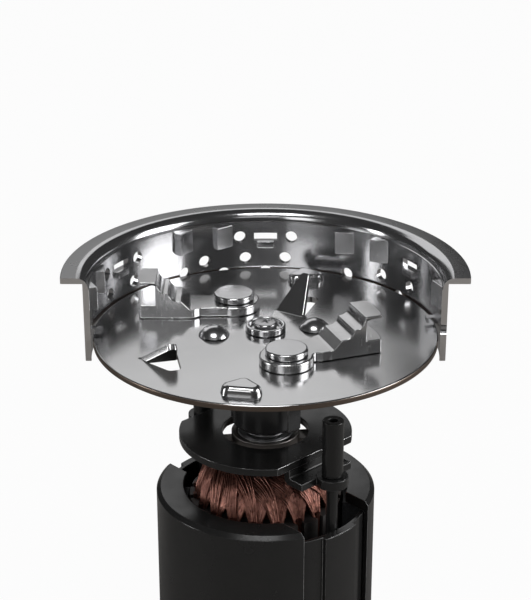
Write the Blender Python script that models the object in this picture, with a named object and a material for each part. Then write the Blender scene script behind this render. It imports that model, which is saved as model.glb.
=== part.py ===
"""Grinding mechanism of a food waste disposer, with its shredder ring cut open.

A turntable with two swivel lugs spins inside a fixed shredder ring. It sits on a
hub and shaft, and a brushed magnet motor below turns it. Everything is in metres,
+Z up, and the origin is the middle of the base that the motor stands on, on the
shaft's axis. "Out" is the direction from the shaft to the front tie rod.
"""
import math

import bmesh
import bpy
from mathutils import Matrix, Vector

MM = 0.001
GAP = 0.3 * MM            # between pieces that touch or cut each other
OVERLAP = 0.5 * MM        # how far shapes sink into each other before a union
PAST = 2.0 * MM           # how far a cutter runs past the face it cuts

# Heights: the motor's shoulder above the base, and the levels above it
SHOULDER_Z = 78.0 * MM
BRACKET_RISE = 23.8 * MM  # from the shoulder to the bracket's top
TABLE_RISE = 42.2 * MM    # from the bracket's top to the turntable's top
HUB_RISE = 2.2 * MM       # from the bracket's top to the hub's underside

# Turntable
TABLE_R = 66.0 * MM
TABLE_T = 2.4 * MM
TABLE_HOLE_R = 5.2 * MM
BOSS_H = 3.5 * MM
BOSS_R = 4.7 * MM         # from a pressed boss's middle to its three corner centres
BOSS_CORNER_R = 3.0 * MM
SHEET = 2.0 * MM          # metal left in a pressing
TAB_BEND_R = 2.2 * MM
BOSS_DEPTH = 0.55         # a pressed boss's depth over its width

# Shredder ring
RING_CLEARANCE = 0.7 * MM
RING_WALL = 2.3 * MM
FLANGE_TOP = 24.7 * MM    # above the turntable's top
FLANGE_T = 2.3 * MM
FLANGE_W = 8.2 * MM
BEND_R = 4.5 * MM
RING_BELOW = 9.1 * MM     # below the turntable's top
CUT_Y = -8.5 * MM         # the ring is cut off in front of this plane
TOOTH_PITCH = 15.0        # degrees
TOOTH_REACH = 3.3 * MM
TOOTH_LOW = 9.8 * MM
TOOTH_HIGH = 19.2 * MM
POCKET_SHIFT = 0.7 * MM   # how much further out a tooth's pocket lies than the wall is thick
RING_HOLE_R = 2.5 * MM
SLOT_W = 9.6 * MM
SLOT_LOW = 11.9 * MM
SLOT_H = 3.4 * MM
LIP_W = 7.3 * MM
LIP_H = 2.9 * MM
LIP_REACH = 1.6 * MM
KEEPER_REACH = 4.6 * MM
KEEPER_HALF = 1.4 * MM
KEEPER_LOW = 0.7 * MM
KEEPER_HIGH = 3.3 * MM
TOOTH_RIDGE = 3.3         # degrees from a tooth's middle to its ridge
TOOTH_STEEP = 4.1         # degrees to the foot of its steep side
TOOTH_SLOPE = -3.8        # degrees to the foot of its gentle side
SLOT_ANGLES = (30.0, 90.0, 150.0)
KEEPER_ANGLES = (5.2, 184.2)
BESIDE_SLOT = 9.2         # degrees from a slot's middle to the holes beside it

# Rows of drain holes: height above the turntable's top, and the angles
HOLE_ROWS = ((13.7 * MM, tuple(a + side for a in SLOT_ANGLES[1:] for side in (-BESIDE_SLOT, BESIDE_SLOT))),
             (4.3 * MM, (30.0, 44.7, 83.0, 97.2, 112.3, 142.9, 157.3)),
             (3.8 * MM, (-8.4,)),
             (0.6 * MM, (59.5, 120.1)),
             (-1.9 * MM, (35.9, 90.0, 105.2)))

# Lugs, in their own frame: X out along the arm, Y to its left, pivot at the origin
LUG_HUB_R = 10.1 * MM
LUG_PLATE_T = 3.6 * MM
LUG_RIGHT = -3.7 * MM
LUG_LEFT = 12.1 * MM
LUG_NECK = 2.4 * MM
LUG_ARM_START = 16.0 * MM
LUG_REACH = 37.5 * MM
LUG_TIP_R = 26.6 * MM
LUG_H = 15.0 * MM
LUG_PIN_R = 4.0 * MM
LUG_HEAD_R = 7.9 * MM
LUG_HEAD_T = 2.4 * MM

# Stops, riveted to the turntable
STOP_R = 5.9 * MM
STOP_H = 3.4 * MM
STOP_SHANK_R = 2.5 * MM

# Clamp at the middle of the turntable
CLAMP_R = 7.7 * MM
CLAMP_BORE_R = 6.4 * MM
CLAMP_H = 2.4 * MM
SCREW_HEAD_R = 4.35 * MM
SCREW_SHANK_R = 2.0 * MM

# Hub and shaft
HUB_R = 12.9 * MM
HUB_PAD_OUT = 0.4 * MM
HUB_PAD_W = 6.3 * MM
SHAFT_R = 4.0 * MM

# Bearings: 22 mm outside, 8 mm bore, 7 mm wide
BEARING_R = 11.0 * MM
BEARING_W = 7.0 * MM
RACE_T = 1.9 * MM
CUP_WALL = 2.1 * MM

# Motor
HOUSING_R = 43.4 * MM
HOUSING_BORE_R = 32.5 * MM
HOUSING_WALL = 1.8 * MM
SHOULDER_T = 4.6 * MM
NOTCH_HALF = 17.5 * MM
NOTCH_LOW_Z = 18.0 * MM
CAN_WALL = 1.8 * MM
LOBE_HALF = 8.3 * MM
ARMATURE_R = 30.2 * MM
ARMATURE_LOW = 32.0 * MM
ARMATURE_SUNK = 4.0 * MM  # from the shoulder's top down to the core's
AIR_GAP = 0.9 * MM
SLOT_COUNT = 20
SLOT_DEPTH = 7.5 * MM
SLOT_GAP_W = 2.8 * MM
WINDING_RISE = 17.0 * MM
WINDING_DROP = 9.0 * MM
MAGNET_SPAN = 110.0       # degrees
CAP_T = 6.0 * MM
CARD_Z = 9.4 * MM
CARD_T = 1.6 * MM
COMMUTATOR_R = 11.0 * MM
COMMUTATOR_H = 9.5 * MM
BRUSH_W = 5.0 * MM
BRUSH_L = 11.0 * MM
HOLDER_WALL = 0.9 * MM

# Bracket, posts and tie rods
BRACKET_T = 3.0 * MM
BRACKET_BORE_R = 17.0 * MM
BRACKET_DROP = 6.6 * MM
FOOT_HALF = 13.4 * MM
FOOT_W = 6.4 * MM
EAR_R = 6.2 * MM
EAR_SEAT = 0.4 * MM       # how far the ear is raised from the foot, on both faces
BEND_STEP = 0.3 * MM
SPIDER_DEG = (8.0, 188.0)
SPIDER_SCREW_R = 1.2 * MM
POST_R = 4.1 * MM
POST_H = 23.0 * MM
ROD_R = 2.3 * MM
ROD_END_R = 1.85 * MM
ROD_HEAD_R = 4.0 * MM
ROD_SEAT_Z = 3.9 * MM
ROD_BOSS_R = 5.6 * MM
OUT_DEG = -46.5           # the direction from the shaft to the front tie rod

# Places on the turntable
FRONT_PIVOT = Vector((7.7, -30.7, 0.0)) * MM
REAR_PIVOT = Vector((-12.4, 22.7, 0.0)) * MM
FRONT_LUG_DEG = 20.6
REAR_LUG_DEG = 180.0
LEFT_STOP = Vector((-19.6, -4.4, 0.0)) * MM
RIGHT_STOP = Vector((18.8, 2.4, 0.0)) * MM
FRONT_BOSS = Vector((-8.3, -54.6, 0.0)) * MM
REAR_BOSS = Vector((16.4, 52.4, 0.0)) * MM
FRONT_BOSS_TURN = -10.0
REAR_BOSS_TURN = 8.0
FRONT_TAB = Vector((-40.4, -23.4, 0.0)) * MM
REAR_TAB = Vector((8.8, 15.8, 0.0)) * MM

# Derived sizes
BRACKET_TOP_Z = SHOULDER_Z + BRACKET_RISE
TABLE_TOP_Z = BRACKET_TOP_Z + TABLE_RISE
TABLE_UNDER_Z = TABLE_TOP_Z - TABLE_T
RING_IN_R = TABLE_R + RING_CLEARANCE
RING_OUT_R = RING_IN_R + RING_WALL
CAN_OUT_R = HOUSING_R - HOUSING_WALL - GAP
CAN_IN_R = CAN_OUT_R - CAN_WALL
CAN_TOP_Z = SHOULDER_Z - SHOULDER_T - GAP
ROD_AT = CAN_IN_R - ROD_R - GAP
BRACKET_R = ROD_AT - 2.9 * MM
CHORD_AT = BRACKET_R - FOOT_W
FOOT_TOP_Z = BRACKET_TOP_Z - BRACKET_DROP
EAR_TOP_Z = FOOT_TOP_Z + EAR_SEAT
EAR_UNDER_Z = FOOT_TOP_Z - BRACKET_T - EAR_SEAT
SPIDER_AT = BRACKET_BORE_R + 4.0 * MM
ROD_DEG = (OUT_DEG, OUT_DEG + 180.0)
TERMINAL_DEG = (OUT_DEG + 90.0, OUT_DEG - 90.0)
HUB_LOW_Z = BRACKET_TOP_Z + HUB_RISE
SHAFT_TOP_Z = TABLE_UNDER_Z - 6.0 * MM
CUP_R = BEARING_R + GAP + CUP_WALL
UPPER_BEARING_Z = HUB_LOW_Z - 2.4 * MM - BEARING_W
LOWER_BEARING_Z = 1.6 * MM
ARMATURE_TOP_Z = SHOULDER_Z - ARMATURE_SUNK
COMMUTATOR_LOW = CARD_Z + CARD_T + 1.2 * MM
BRUSH_Z = COMMUTATOR_LOW + 0.55 * COMMUTATOR_H


# ---------------------------------------------------------------- materials

def material(name, colour, roughness, metallic):
    """Return a Principled material of this colour and finish."""
    mat = bpy.data.materials.new(name)
    mat.use_nodes = True
    shader = mat.node_tree.nodes["Principled BSDF"]
    shader.inputs["Base Color"].default_value = (*colour, 1.0)
    shader.inputs["Roughness"].default_value = roughness
    shader.inputs["Metallic"].default_value = metallic
    mat.diffuse_color = (*colour, 1.0)
    return mat


# ---------------------------------------------------------------- shapes

def finish(name, bm, mat, smooth=True):
    """Make a bmesh into a named object with its normals pointing out."""
    bmesh.ops.remove_doubles(bm, verts=bm.verts, dist=1e-6)
    bmesh.ops.recalc_face_normals(bm, faces=bm.faces)
    mesh = bpy.data.meshes.new(name)
    bm.to_mesh(mesh)
    bm.free()
    if smooth:
        mesh.shade_smooth()
        mesh.set_sharp_from_angle(angle=math.radians(35))
    obj = bpy.data.objects.new(name, mesh)
    bpy.context.collection.objects.link(obj)
    if mat:
        mesh.materials.append(mat)
    return obj


def turned(name, profile, mat, steps=32):
    """Turn a closed (radius, height) profile about Z."""
    bm = bmesh.new()
    verts = [bm.verts.new((r, 0.0, z)) for r, z in profile]
    edges = [bm.edges.new((verts[i], verts[(i + 1) % len(verts)])) for i in range(len(verts))]
    on_axis = [e for e in edges if all(v.co.x < 1e-7 for v in e.verts)]
    bmesh.ops.delete(bm, geom=on_axis, context="EDGES_FACES")
    bmesh.ops.spin(bm, geom=bm.verts[:] + bm.edges[:], cent=(0, 0, 0), axis=(0, 0, 1),
                   angle=math.tau, steps=steps, use_merge=True, use_duplicate=False)
    return finish(name, bm, mat)


def tube(name, r_in, r_out, low, high, mat, steps=32, chamfer=0.0):
    """A plain ring, with its two outer edges chamfered."""
    profile = [(r_in, low), (r_out - chamfer, low)]
    if chamfer:
        profile += [(r_out, low + chamfer), (r_out, high - chamfer)]
    profile += [(r_out - chamfer, high), (r_in, high)]
    return turned(name, profile, mat, steps)


def prism(name, outline, low, high, mat, smooth=False):
    """Extrude a plan outline from one height to another."""
    bm = bmesh.new()
    face = bm.faces.new([bm.verts.new((x, y, low)) for x, y in outline])
    made = bmesh.ops.extrude_face_region(bm, geom=[face])
    top = [v for v in made["geom"] if isinstance(v, bmesh.types.BMVert)]
    bmesh.ops.translate(bm, verts=top, vec=(0, 0, high - low))
    return finish(name, bm, mat, smooth)


def block(name, x, y, z, mat, turn=0.0):
    """A box between two values on each axis, then turned about Z."""
    outline = [(x[0], y[0]), (x[1], y[0]), (x[1], y[1]), (x[0], y[1])]
    return moved(prism(name, outline, z[0], z[1], mat), turn=turn)


def disc(centre, radius, low, high, steps=16):
    """An upright cylinder that only cuts."""
    outline = arc(centre.x, centre.y, radius, 0.0, 360.0 - 360.0 / steps, steps - 1)
    return prism("cutter", outline, low, high, None)


def arc(cx, cy, radius, start, end, steps):
    """Points on an arc, with its angles in degrees."""
    angles = [math.radians(start + (end - start) * i / steps) for i in range(steps + 1)]
    return [(cx + radius * math.cos(a), cy + radius * math.sin(a)) for a in angles]


def moved(obj, place=Vector(), turn=0.0):
    """Turn an object's mesh about Z, in degrees, and then shift it."""
    obj.data.transform(Matrix.Translation(place) @ Matrix.Rotation(math.radians(turn), 4, "Z"))
    return obj


def boolean(obj, other, operation):
    """Cut, join or intersect with another object, which becomes a hidden helper."""
    mod = obj.modifiers.new(operation.lower(), "BOOLEAN")
    mod.operation = operation
    mod.object = other
    other.hide_render = True
    other.display_type = "WIRE"
    other.parent = obj.parent
    return obj


def cut(obj, *cutters):
    """Take cutters out of an object, all in one step."""
    return boolean(obj, joined("cutter", cutters), "DIFFERENCE")


def add(obj, *others):
    """Join other solids to an object."""
    for other in others:
        boolean(obj, other, "UNION")
    return obj


def joined(name, parts):
    """Gather several meshes, which don't touch each other, into one object."""
    bm = bmesh.new()
    for part in parts:
        bm.from_mesh(part.data)
        bpy.data.objects.remove(part)
    return finish(name, bm, None)


def hung_on(obj, place):
    """Give an object an origin of its own and leave its mesh where it is."""
    obj.data.transform(Matrix.Translation(-place))
    obj.location = place
    return obj


def polar(radius, degrees, z=0.0):
    """A point at a radius and an angle."""
    a = math.radians(degrees)
    return Vector((radius * math.cos(a), radius * math.sin(a), z))


# ---------------------------------------------------------------- grinding chamber

def ring_profile():
    """Half section of the shredder ring: wall, bend and flange."""
    z = TABLE_TOP_Z
    top = z + FLANGE_TOP
    bend = arc(RING_IN_R + BEND_R, top - BEND_R, BEND_R, 180.0, 90.0, 4)
    flange = [(RING_OUT_R + FLANGE_W, top), (RING_OUT_R + FLANGE_W, top - FLANGE_T)]
    wall = [(RING_OUT_R, top - FLANGE_T), (RING_OUT_R, z - RING_BELOW), (RING_IN_R, z - RING_BELOW)]
    return bend + flange + wall


def tooth(angle, shift, low, high):
    """A wedge on the ring's wall, steep on one side, moved out by shift."""
    ridge = polar(RING_IN_R - TOOTH_REACH + shift, angle + TOOTH_RIDGE)
    steep = polar(RING_IN_R + OVERLAP + shift, angle + TOOTH_STEEP)
    slope = polar(RING_IN_R + OVERLAP + shift, angle + TOOTH_SLOPE)
    outline = [ridge.xy, slope.xy, steep.xy]
    return prism("tooth", outline, TABLE_TOP_Z + low, TABLE_TOP_Z + high, None)


def ring_hole(angle, height):
    """A cutter for one round hole through the ring's wall."""
    bm = bmesh.new()
    bmesh.ops.create_cone(bm, cap_ends=True, segments=10, radius1=RING_HOLE_R, radius2=RING_HOLE_R,
                          depth=RING_WALL + 2 * PAST)
    turn = Matrix.Rotation(math.radians(angle), 4, "Z") @ Matrix.Rotation(math.radians(90), 4, "Y")
    middle = polar(RING_IN_R + RING_WALL / 2, angle, TABLE_TOP_Z + height)
    bm.transform(Matrix.Translation(middle) @ turn)
    return finish("hole", bm, None)


def grind_ring(steel):
    """The fixed shredder ring: slots with lips, teeth and drain holes, cut open in front."""
    ring = turned("grind_ring", ring_profile(), steel, steps=72)
    teeth = [a + k * TOOTH_PITCH for a in (-30.0, *SLOT_ANGLES) for k in (1, 2) if a + k * TOOTH_PITCH >= 0]
    slots = [block("slot", (RING_IN_R - PAST, RING_OUT_R + PAST), (-SLOT_W / 2, SLOT_W / 2),
                   (TABLE_TOP_Z + SLOT_LOW, TABLE_TOP_Z + SLOT_LOW + SLOT_H), None, a)
             for a in SLOT_ANGLES]
    holes = [ring_hole(a, height) for height, angles in HOLE_ROWS for a in angles]
    add(ring, joined("teeth", [tooth(a, 0.0, TOOTH_LOW, TOOTH_HIGH) for a in teeth]))
    lips = [block("lip", (RING_IN_R - LIP_REACH, RING_IN_R + OVERLAP), (-LIP_W / 2, LIP_W / 2),
                  (TABLE_TOP_Z + SLOT_LOW - LIP_H, TABLE_TOP_Z + SLOT_LOW), None, a)
            for a in SLOT_ANGLES]
    add(ring, joined("lips", lips))
    keepers = [block("keeper", (RING_IN_R - KEEPER_REACH, RING_IN_R + OVERLAP), (-KEEPER_HALF, KEEPER_HALF),
                     (TABLE_TOP_Z + KEEPER_LOW, TABLE_TOP_Z + KEEPER_HIGH), None, a) for a in KEEPER_ANGLES]
    add(ring, joined("keepers", keepers))
    pockets = [tooth(a, RING_WALL + POCKET_SHIFT, TOOTH_LOW + SHEET, TOOTH_HIGH - SHEET) for a in teeth]
    cut(ring, *slots, *holes, *pockets)
    wide = 2 * (RING_OUT_R + FLANGE_W)
    front = block("front", (-wide, wide), (-wide, CUT_Y), (0, 2 * TABLE_TOP_Z), None)
    return cut(ring, front)


def boss_outline(radius_step):
    """A triangle with round corners, grown or shrunk by radius_step."""
    points = []
    for corner in (-150.0, -30.0, 90.0):
        at = polar(BOSS_R, corner)
        points += arc(at.x, at.y * BOSS_DEPTH, BOSS_CORNER_R + radius_step, corner - 60.0, corner + 60.0, 4)
    return points


def pressed_boss(place, turn):
    """A raised boss with a sloping rim, and the hollow under it."""
    low, high = TABLE_TOP_Z - OVERLAP, TABLE_TOP_Z + BOSS_H
    boss = prism("boss", boss_outline(0.0), low, high - 0.8 * MM, None)
    bm = bmesh.new()
    bm.from_mesh(boss.data)
    bpy.data.objects.remove(boss)
    top = [f for f in bm.faces if f.normal.z > 0.9]
    made = bmesh.ops.extrude_face_region(bm, geom=top)
    verts = [v for v in made["geom"] if isinstance(v, bmesh.types.BMVert)]
    bmesh.ops.delete(bm, geom=top, context="FACES")
    bmesh.ops.translate(bm, verts=verts, vec=(0, 0, 0.8 * MM))
    bmesh.ops.scale(bm, verts=verts, vec=(0.9, 0.87, 1.0))
    solid = moved(finish("boss", bm, None), place, turn)
    hollow = prism("hollow", boss_outline(-SHEET), TABLE_UNDER_Z - PAST, high - SHEET, None)
    return solid, moved(hollow, place, turn)


def bent(u, v, lift):
    """Where a point u along a tab and v above its top face lies once the tab is bent up."""
    bend = TAB_BEND_R * lift
    angle = min(max(u / TAB_BEND_R, 0.0), lift)
    y = min(u, 0.0) + (TAB_BEND_R - v) * math.sin(angle) + max(u - bend, 0.0) * math.cos(lift)
    z = TAB_BEND_R - (TAB_BEND_R - v) * math.cos(angle) + max(u - bend, 0.0) * math.sin(lift)
    return y, z


def lanced_tab(root, toward, half, length, skew, lift):
    """A tab cut from the sheet and bent up about its root, and the hole it leaves."""
    lift = math.radians(lift)
    tip = 1.1 * MM
    sink = 0.05 * MM
    stations = [(-1.2 * MM, 0.4 * MM), (0.0, sink)]
    stations += [(TAB_BEND_R * lift * i / 3, 0.0) for i in (1, 2, 3)]
    stations += [(length - tip, 0.0), (length, 0.0)]
    bm = bmesh.new()
    rows = []
    for u, inset in stations:
        share = min(max(u, 0.0) / (length - tip), 1.0)
        middle = skew * share
        wide = half + (tip - half) * share
        if u == length:
            wide = 0.5 * tip
        row = []
        for x, v in ((middle - wide, -TABLE_T + inset), (middle + wide, -TABLE_T + inset),
                     (middle + wide, -inset), (middle - wide, -inset)):
            y, z = bent(u, v, lift)
            row.append(bm.verts.new((x, y, z)))
        rows.append(row)
    for low, high in zip(rows, rows[1:]):
        for i in range(4):
            bm.faces.new((low[i], low[(i + 1) % 4], high[(i + 1) % 4], high[i]))
    bm.faces.new(rows[0])
    bm.faces.new(rows[-1])
    tab = moved(finish("tab", bm, None), root + Vector((0, 0, TABLE_TOP_Z)), toward - 90.0)
    grow = 0.5 * MM
    outline = [(-half - grow, OVERLAP), (half + grow, OVERLAP), (skew + tip + grow, length - tip + 3 * grow),
               (skew + tip, length + 3 * grow), (skew - tip, length + 3 * grow),
               (skew - tip - grow, length - tip + 3 * grow)]
    hole = prism("hole", outline, TABLE_UNDER_Z - PAST, TABLE_TOP_Z + PAST, None)
    return tab, moved(hole, root, toward - 90.0)


def turntable(steel):
    """The disc, with pressed bosses, two bent-up tabs and the holes of all that it carries."""
    rim = 0.4 * MM
    profile = [(0, TABLE_UNDER_Z), (TABLE_R - rim, TABLE_UNDER_Z), (TABLE_R, TABLE_UNDER_Z + rim),
               (TABLE_R, TABLE_TOP_Z - rim), (TABLE_R - rim, TABLE_TOP_Z), (0, TABLE_TOP_Z)]
    table = turned("turntable", profile, steel, steps=60)
    front_boss, front_hollow = pressed_boss(FRONT_BOSS, FRONT_BOSS_TURN)
    rear_boss, rear_hollow = pressed_boss(REAR_BOSS, REAR_BOSS_TURN)
    rear_tab, rear_hole = lanced_tab(REAR_TAB, 58.0, 6.4 * MM, 18.7 * MM, 0.0, 46.5)
    front_tab, front_hole = lanced_tab(FRONT_TAB, -75.1, 7.2 * MM, 13.2 * MM, -4.1 * MM, 43.0)
    low, high = TABLE_UNDER_Z - PAST, TABLE_TOP_Z + PAST
    holes = [disc(place, radius + GAP, low, high)
             for place, radius in ((FRONT_PIVOT, LUG_PIN_R), (REAR_PIVOT, LUG_PIN_R),
                                   (LEFT_STOP, STOP_SHANK_R), (RIGHT_STOP, STOP_SHANK_R))]
    cut(table, disc(Vector(), TABLE_HOLE_R, low, high), *holes, front_hole, rear_hole)
    add(table, front_boss, rear_boss, front_tab, rear_tab)
    return cut(table, front_hollow, rear_hollow)


def lug(name, pivot, degrees, steel):
    """A swivel lug: a flat round hub, a neck, and an arm that climbs in three steps."""
    z = TABLE_TOP_Z + GAP
    plate_top = z + LUG_PLATE_T
    hub = turned(name, [(LUG_PIN_R + GAP, z), (LUG_HUB_R, z), (LUG_HUB_R, plate_top),
                        (LUG_PIN_R + GAP, plate_top)], steel, steps=24)
    inner = LUG_PIN_R + 1.5 * MM
    neck_end = LUG_ARM_START + OVERLAP
    outline = [(inner, LUG_HUB_R - 2.2 * MM), (1.5 * MM, LUG_HUB_R - OVERLAP),
               (13.2 * MM, LUG_HUB_R), (LUG_ARM_START, LUG_LEFT), (neck_end, LUG_LEFT),
               (neck_end, LUG_RIGHT), (13.0 * MM, LUG_RIGHT), (11.8 * MM, -LUG_NECK),
               (inner, -LUG_NECK)]
    neck = prism("neck", outline, z, plate_top, None)
    end = LUG_REACH + PAST
    step = LUG_PLATE_T + 3.5 * MM
    second = step + 3.4 * MM
    side = [(LUG_ARM_START, 0.0), (end, 0.0), (end, 5.5 * MM), (30.4 * MM, 5.5 * MM),
            (30.4 * MM, LUG_H - 1.2 * MM), (end, LUG_H - 1.2 * MM), (end, LUG_H)]
    side += [(x, y) for x, y in scallop(26.5 * MM, LUG_H, 3.4 * MM, LUG_H - second)]
    side += [(x, y) for x, y in scallop(21.5 * MM, second, 3.9 * MM, second - step)]
    side += [(20.4 * MM, step), (17.1 * MM, LUG_PLATE_T), (LUG_ARM_START, LUG_PLATE_T)]
    arm = prism("arm", side, -LUG_LEFT, -LUG_RIGHT, None)
    arm.data.transform(Matrix.Translation((0, 0, z)) @ Matrix.Rotation(math.radians(90), 4, "X"))
    middle = Vector((LUG_REACH - LUG_TIP_R, (LUG_LEFT + LUG_RIGHT) / 2, 0))
    tip = disc(middle, LUG_TIP_R, z - PAST, z + LUG_H + PAST, steps=40)
    boolean(arm, tip, "INTERSECT")
    for piece in (hub, neck, arm, tip):
        moved(piece, pivot, degrees)
    add(hub, neck, arm)
    return hub


def scallop(left, top, width, height):
    """A hollow quarter ellipse, from its upper right end down to its lower left end."""
    angles = [math.radians(90.0 - 90.0 * i / 5) for i in range(6)]
    return [(left + width * math.sin(a), top - height * math.cos(a)) for a in angles]


def lug_pin(name, pivot, steel):
    """The rivet a lug swivels on: a wide head, a shank and a closed tail below the sheet."""
    head = TABLE_TOP_Z + GAP + LUG_PLATE_T + GAP
    tail = TABLE_UNDER_Z - GAP
    edge = 0.4 * MM
    profile = [(0, tail - 2.4 * MM), (LUG_PIN_R + 1.2 * MM, tail - 2.4 * MM),
               (LUG_PIN_R + 2.4 * MM, tail - 1.4 * MM), (LUG_PIN_R + 2.4 * MM, tail),
               (LUG_PIN_R, tail), (LUG_PIN_R, head), (LUG_HEAD_R, head),
               (LUG_HEAD_R, head + LUG_HEAD_T - edge), (LUG_HEAD_R - edge, head + LUG_HEAD_T),
               (0, head + LUG_HEAD_T)]
    return moved(turned(name, profile, steel, steps=20), pivot)


def stop_rivet(name, place, steel):
    """A domed rivet that a swinging lug can knock against."""
    low = TABLE_TOP_Z + GAP
    sphere = (STOP_R ** 2 + STOP_H ** 2) / (2 * STOP_H)
    half = math.degrees(math.asin(STOP_R / sphere))
    dome = arc(0.0, low + STOP_H - sphere, sphere, 90.0 - half, 90.0, 3)
    tail = TABLE_UNDER_Z - GAP
    profile = [(0, tail - 1.4 * MM), (STOP_SHANK_R + 1.0 * MM, tail - 1.4 * MM),
               (STOP_SHANK_R + 1.7 * MM, tail), (STOP_SHANK_R, tail), (STOP_SHANK_R, low)]
    profile += dome[:-1] + [(0, low + STOP_H)]
    return moved(turned(name, profile, steel, steps=20), place)


# ---------------------------------------------------------------- hub and shaft

def clamp_washer(steel):
    """The cup that presses the turntable onto its hub."""
    low = TABLE_TOP_Z + GAP
    floor = low + 0.8 * MM
    edge = 0.3 * MM
    profile = [(SCREW_SHANK_R + GAP, low), (CLAMP_R, low), (CLAMP_R, low + CLAMP_H - edge),
               (CLAMP_R - edge, low + CLAMP_H), (CLAMP_BORE_R, low + CLAMP_H),
               (CLAMP_BORE_R, floor), (SCREW_SHANK_R + GAP, floor)]
    return turned("clamp_washer", profile, steel, steps=20)


def clamp_screw(steel):
    """The screw down the middle, with a cross recess in its raised head."""
    seat = TABLE_TOP_Z + 0.8 * MM + 2 * GAP
    top = TABLE_TOP_Z + 3.8 * MM
    edge = 0.4 * MM
    end = SHAFT_TOP_Z - 10.0 * MM
    profile = [(0, end), (SCREW_SHANK_R, end), (SCREW_SHANK_R, seat), (SCREW_HEAD_R, seat),
               (SCREW_HEAD_R, top - edge), (SCREW_HEAD_R - edge, top), (0, top)]
    screw = turned("clamp_screw", profile, steel, steps=20)
    depth = (top - 1.3 * MM, top + PAST)
    bars = [block("bar", (-1.9 * MM, 1.9 * MM), (-0.35 * MM, 0.35 * MM), depth, None, a) for a in (30.0, 120.0)]
    cut(screw, bars[0])
    return cut(screw, bars[1])


def turntable_hub(black):
    """The carrier under the turntable, with a driving pad on each side."""
    low, high = HUB_LOW_Z, TABLE_UNDER_Z - GAP
    spigot = TABLE_HOLE_R - GAP
    ledge = SHAFT_TOP_Z + GAP
    profile = [(SHAFT_R + GAP, low), (HUB_R - 2.4 * MM, low), (HUB_R, low + 2.0 * MM), (HUB_R, high),
               (spigot, high), (spigot, TABLE_TOP_Z), (SCREW_SHANK_R + GAP, TABLE_TOP_Z),
               (SCREW_SHANK_R + GAP, ledge), (SHAFT_R + GAP, ledge)]
    hub = turned("turntable_hub", profile, black, steps=28)
    for turn in ROD_DEG:
        pad = block("pad", (HUB_R * 0.5, HUB_R + HUB_PAD_OUT), (-0.5 * MM, HUB_PAD_W),
                    (low + 0.6 * MM, high - 2.2 * MM), None, turn)
        add(hub, pad)
    return hub


def rotor_shaft(steel):
    """The shaft, from the lower bearing up into the hub, with a thread hole in its top."""
    low, high = LOWER_BEARING_Z, SHAFT_TOP_Z
    hole = SCREW_SHANK_R + GAP
    profile = [(0, low), (SHAFT_R, low), (SHAFT_R, high), (hole, high), (hole, high - 12 * MM),
               (0, high - 12 * MM)]
    return turned("rotor_shaft", profile, steel, steps=20)


def bearing(name, low, steel):
    """A sealed ball bearing: its outer race with the shields, and its inner race."""
    bore = SHAFT_R + GAP
    middle = bore + RACE_T
    outer = tube(name + "_outer_race", middle + 0.5 * MM, BEARING_R, low, low + BEARING_W, steel,
                 steps=28, chamfer=0.4 * MM)
    inner = tube(name + "_inner_race", bore, middle, low, low + BEARING_W, steel, steps=20)
    return outer, inner


# ---------------------------------------------------------------- motor

def armature_core(iron):
    """The slotted stack of laminations."""
    outline = []
    pitch = 360.0 / SLOT_COUNT
    for tooth_index in range(SLOT_COUNT):
        middle = tooth_index * pitch
        half_slot = math.degrees(math.asin(SLOT_GAP_W / 2 / ARMATURE_R))
        root_r = ARMATURE_R - SLOT_DEPTH
        half_root = math.degrees(math.asin(SLOT_GAP_W / 2 / root_r))
        outline.append(polar(root_r, middle - pitch / 2 + half_root).xy)
        outline += arc(0, 0, ARMATURE_R, middle - pitch / 2 + half_slot, middle + pitch / 2 - half_slot, 2)
        outline.append(polar(root_r, middle + pitch / 2 - half_root).xy)
    core = prism("armature_core", outline, ARMATURE_LOW, ARMATURE_TOP_Z, iron)
    return cut(core, disc(Vector(), SHAFT_R + GAP, ARMATURE_LOW - PAST, ARMATURE_TOP_Z + PAST))


def armature_winding(copper):
    """All the copper: bars in the slots and a heap of end turns above and below."""
    inner = SHAFT_R + 4.0 * MM
    outer = ARMATURE_R - 0.7 * MM
    low = ARMATURE_TOP_Z + 1.0 * MM
    rise = WINDING_RISE
    top = turned("armature_winding",
                 [(inner, low), (outer, low), (outer, low + 0.2 * rise), (outer - 2.0 * MM, low + 0.5 * rise),
                  (outer - 7.5 * MM, low + 0.82 * rise), (outer - 14.5 * MM, low + rise), (inner, low + rise)],
                 copper, steps=SLOT_COUNT)
    high = ARMATURE_LOW - 1.0 * MM
    drop = WINDING_DROP
    bottom = turned("lower_turns",
                    [(COMMUTATOR_R + 1.5 * MM, high - drop), (outer - 7.0 * MM, high - drop),
                     (outer - 1.5 * MM, high - 0.6 * drop), (outer, high - 0.2 * drop), (outer, high),
                     (inner, high), (inner, high - 1.0 * MM), (COMMUTATOR_R + 1.5 * MM, high - 1.0 * MM)],
                    None, steps=SLOT_COUNT)
    reach = (ARMATURE_R - SLOT_DEPTH + GAP, outer)
    half = SLOT_GAP_W / 2 - GAP
    bars = [block("bar", reach, (-half, half), (high - OVERLAP, low + OVERLAP), None, (i + 0.5) * 360.0 / SLOT_COUNT)
            for i in range(SLOT_COUNT)]
    return add(top, joined("bars", bars), bottom)


def insulator(name, low, resin):
    """A thin ring between the core and the end turns, inside the slots."""
    return tube(name, SHAFT_R + GAP, ARMATURE_R - SLOT_DEPTH - GAP, low, low + 0.4 * MM, resin, steps=24)


def commutator(copper):
    """The drum that the brushes ride on, with a riser for the winding's ends."""
    low = COMMUTATOR_LOW
    profile = [(SHAFT_R + GAP, low), (COMMUTATOR_R, low), (COMMUTATOR_R, low + COMMUTATOR_H),
               (SHAFT_R + GAP, low + COMMUTATOR_H)]
    return turned("commutator", profile, copper, steps=28)


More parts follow.
